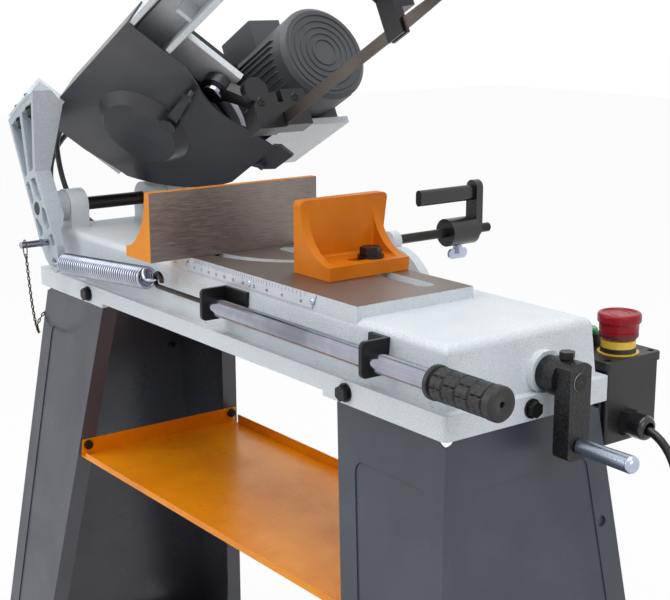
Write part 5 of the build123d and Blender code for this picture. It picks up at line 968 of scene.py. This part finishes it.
def seen_directly(tree):
    """1 for camera, mirror and glass rays, 0 for light on the object."""
    path = put(tree, "LightPath").outputs
    seen = maths(tree, "MAXIMUM", path["Is Camera Ray"], path["Is Transmission Ray"])
    return maths(tree, "MAXIMUM", seen, path["Is Glossy Ray"])


floor_paint = bpy.data.materials.new("floor paint")
floor_paint.use_nodes = True
tree = floor_paint.node_tree
matte = tree.nodes["Principled BSDF"]
matte.inputs["Base Color"].default_value = FLOOR_GREY
matte.inputs["Roughness"].default_value = FLOOR_ROUGH
glow = put(tree, "Emission", {"Color": WHITE, "Strength": 1.0})
shown = maths(tree, "MULTIPLY", seen_directly(tree), FLOOR_SHARE)
both = put(tree, "MixShader", {0: shown, 1: matte.outputs[0], 2: glow.outputs[0]})
tree.links.new(both.outputs[0], tree.nodes["Material Output"].inputs["Surface"])
edge = FLOOR_SIZE / 2
floor_mesh = bpy.data.meshes.new("floor")
floor_mesh.from_pydata([(x * edge, y * edge, FLOOR_LEVEL) for x, y in ((-1, -1), (1, -1), (1, 1), (-1, 1))],
                       [], [(0, 1, 2, 3)])
floor_mesh.materials.append(floor_paint)
floor = add_object("floor", floor_mesh)
print("floor", FLOOR_SIZE, "m")

# %% World and lamps
DOME_COLOUR, DOME_HEIGHTS, DOME_STRENGTHS = (0.94, 0.96, 1.0, 1), (-0.15, 0.9), (0.16, 0.8)
AIM, LAMP_SEED = (0.0, 0.0, 0.6), (0, 1, 0.01)
LAMPS = (("top", (0.1, -0.2, 2.7), 2.0, 36), ("front", (-0.9, -2.2, 1.7), 1.2, 15),
         ("crank end", (2.3, -0.3, 1.5), 1.0, 9))
world = bpy.data.worlds.new("studio")
bpy.context.scene.world = world
world.use_nodes = True
tree = world.node_tree
plain = tree.nodes["Background"]
plain.inputs["Color"].default_value = DOME_COLOUR
height = put(tree, "SeparateXYZ", {0: put(tree, "TexCoord").outputs["Generated"]}).outputs["Z"]
tree.links.new(spread(tree, height, *DOME_HEIGHTS, *DOME_STRENGTHS), plain.inputs["Strength"])
white = put(tree, "Background", {"Color": WHITE, "Strength": 1.0})
both = put(tree, "MixShader", {0: seen_directly(tree), 1: plain.outputs[0], 2: white.outputs[0]})
tree.links.new(both.outputs[0], tree.nodes["World Output"].inputs["Surface"])
for name, place, size, power in LAMPS:
    lamp = bpy.data.lights.new(name, "AREA")
    lamp.size, lamp.energy = size, power
    away = unit(np.subtract(place, AIM))
    sideways = unit(np.cross(LAMP_SEED, away))
    stand(name, lamp, place, sideways, np.cross(away, sideways), away)
print("lamps", len(LAMPS))

bpy.context.view_layer.update()
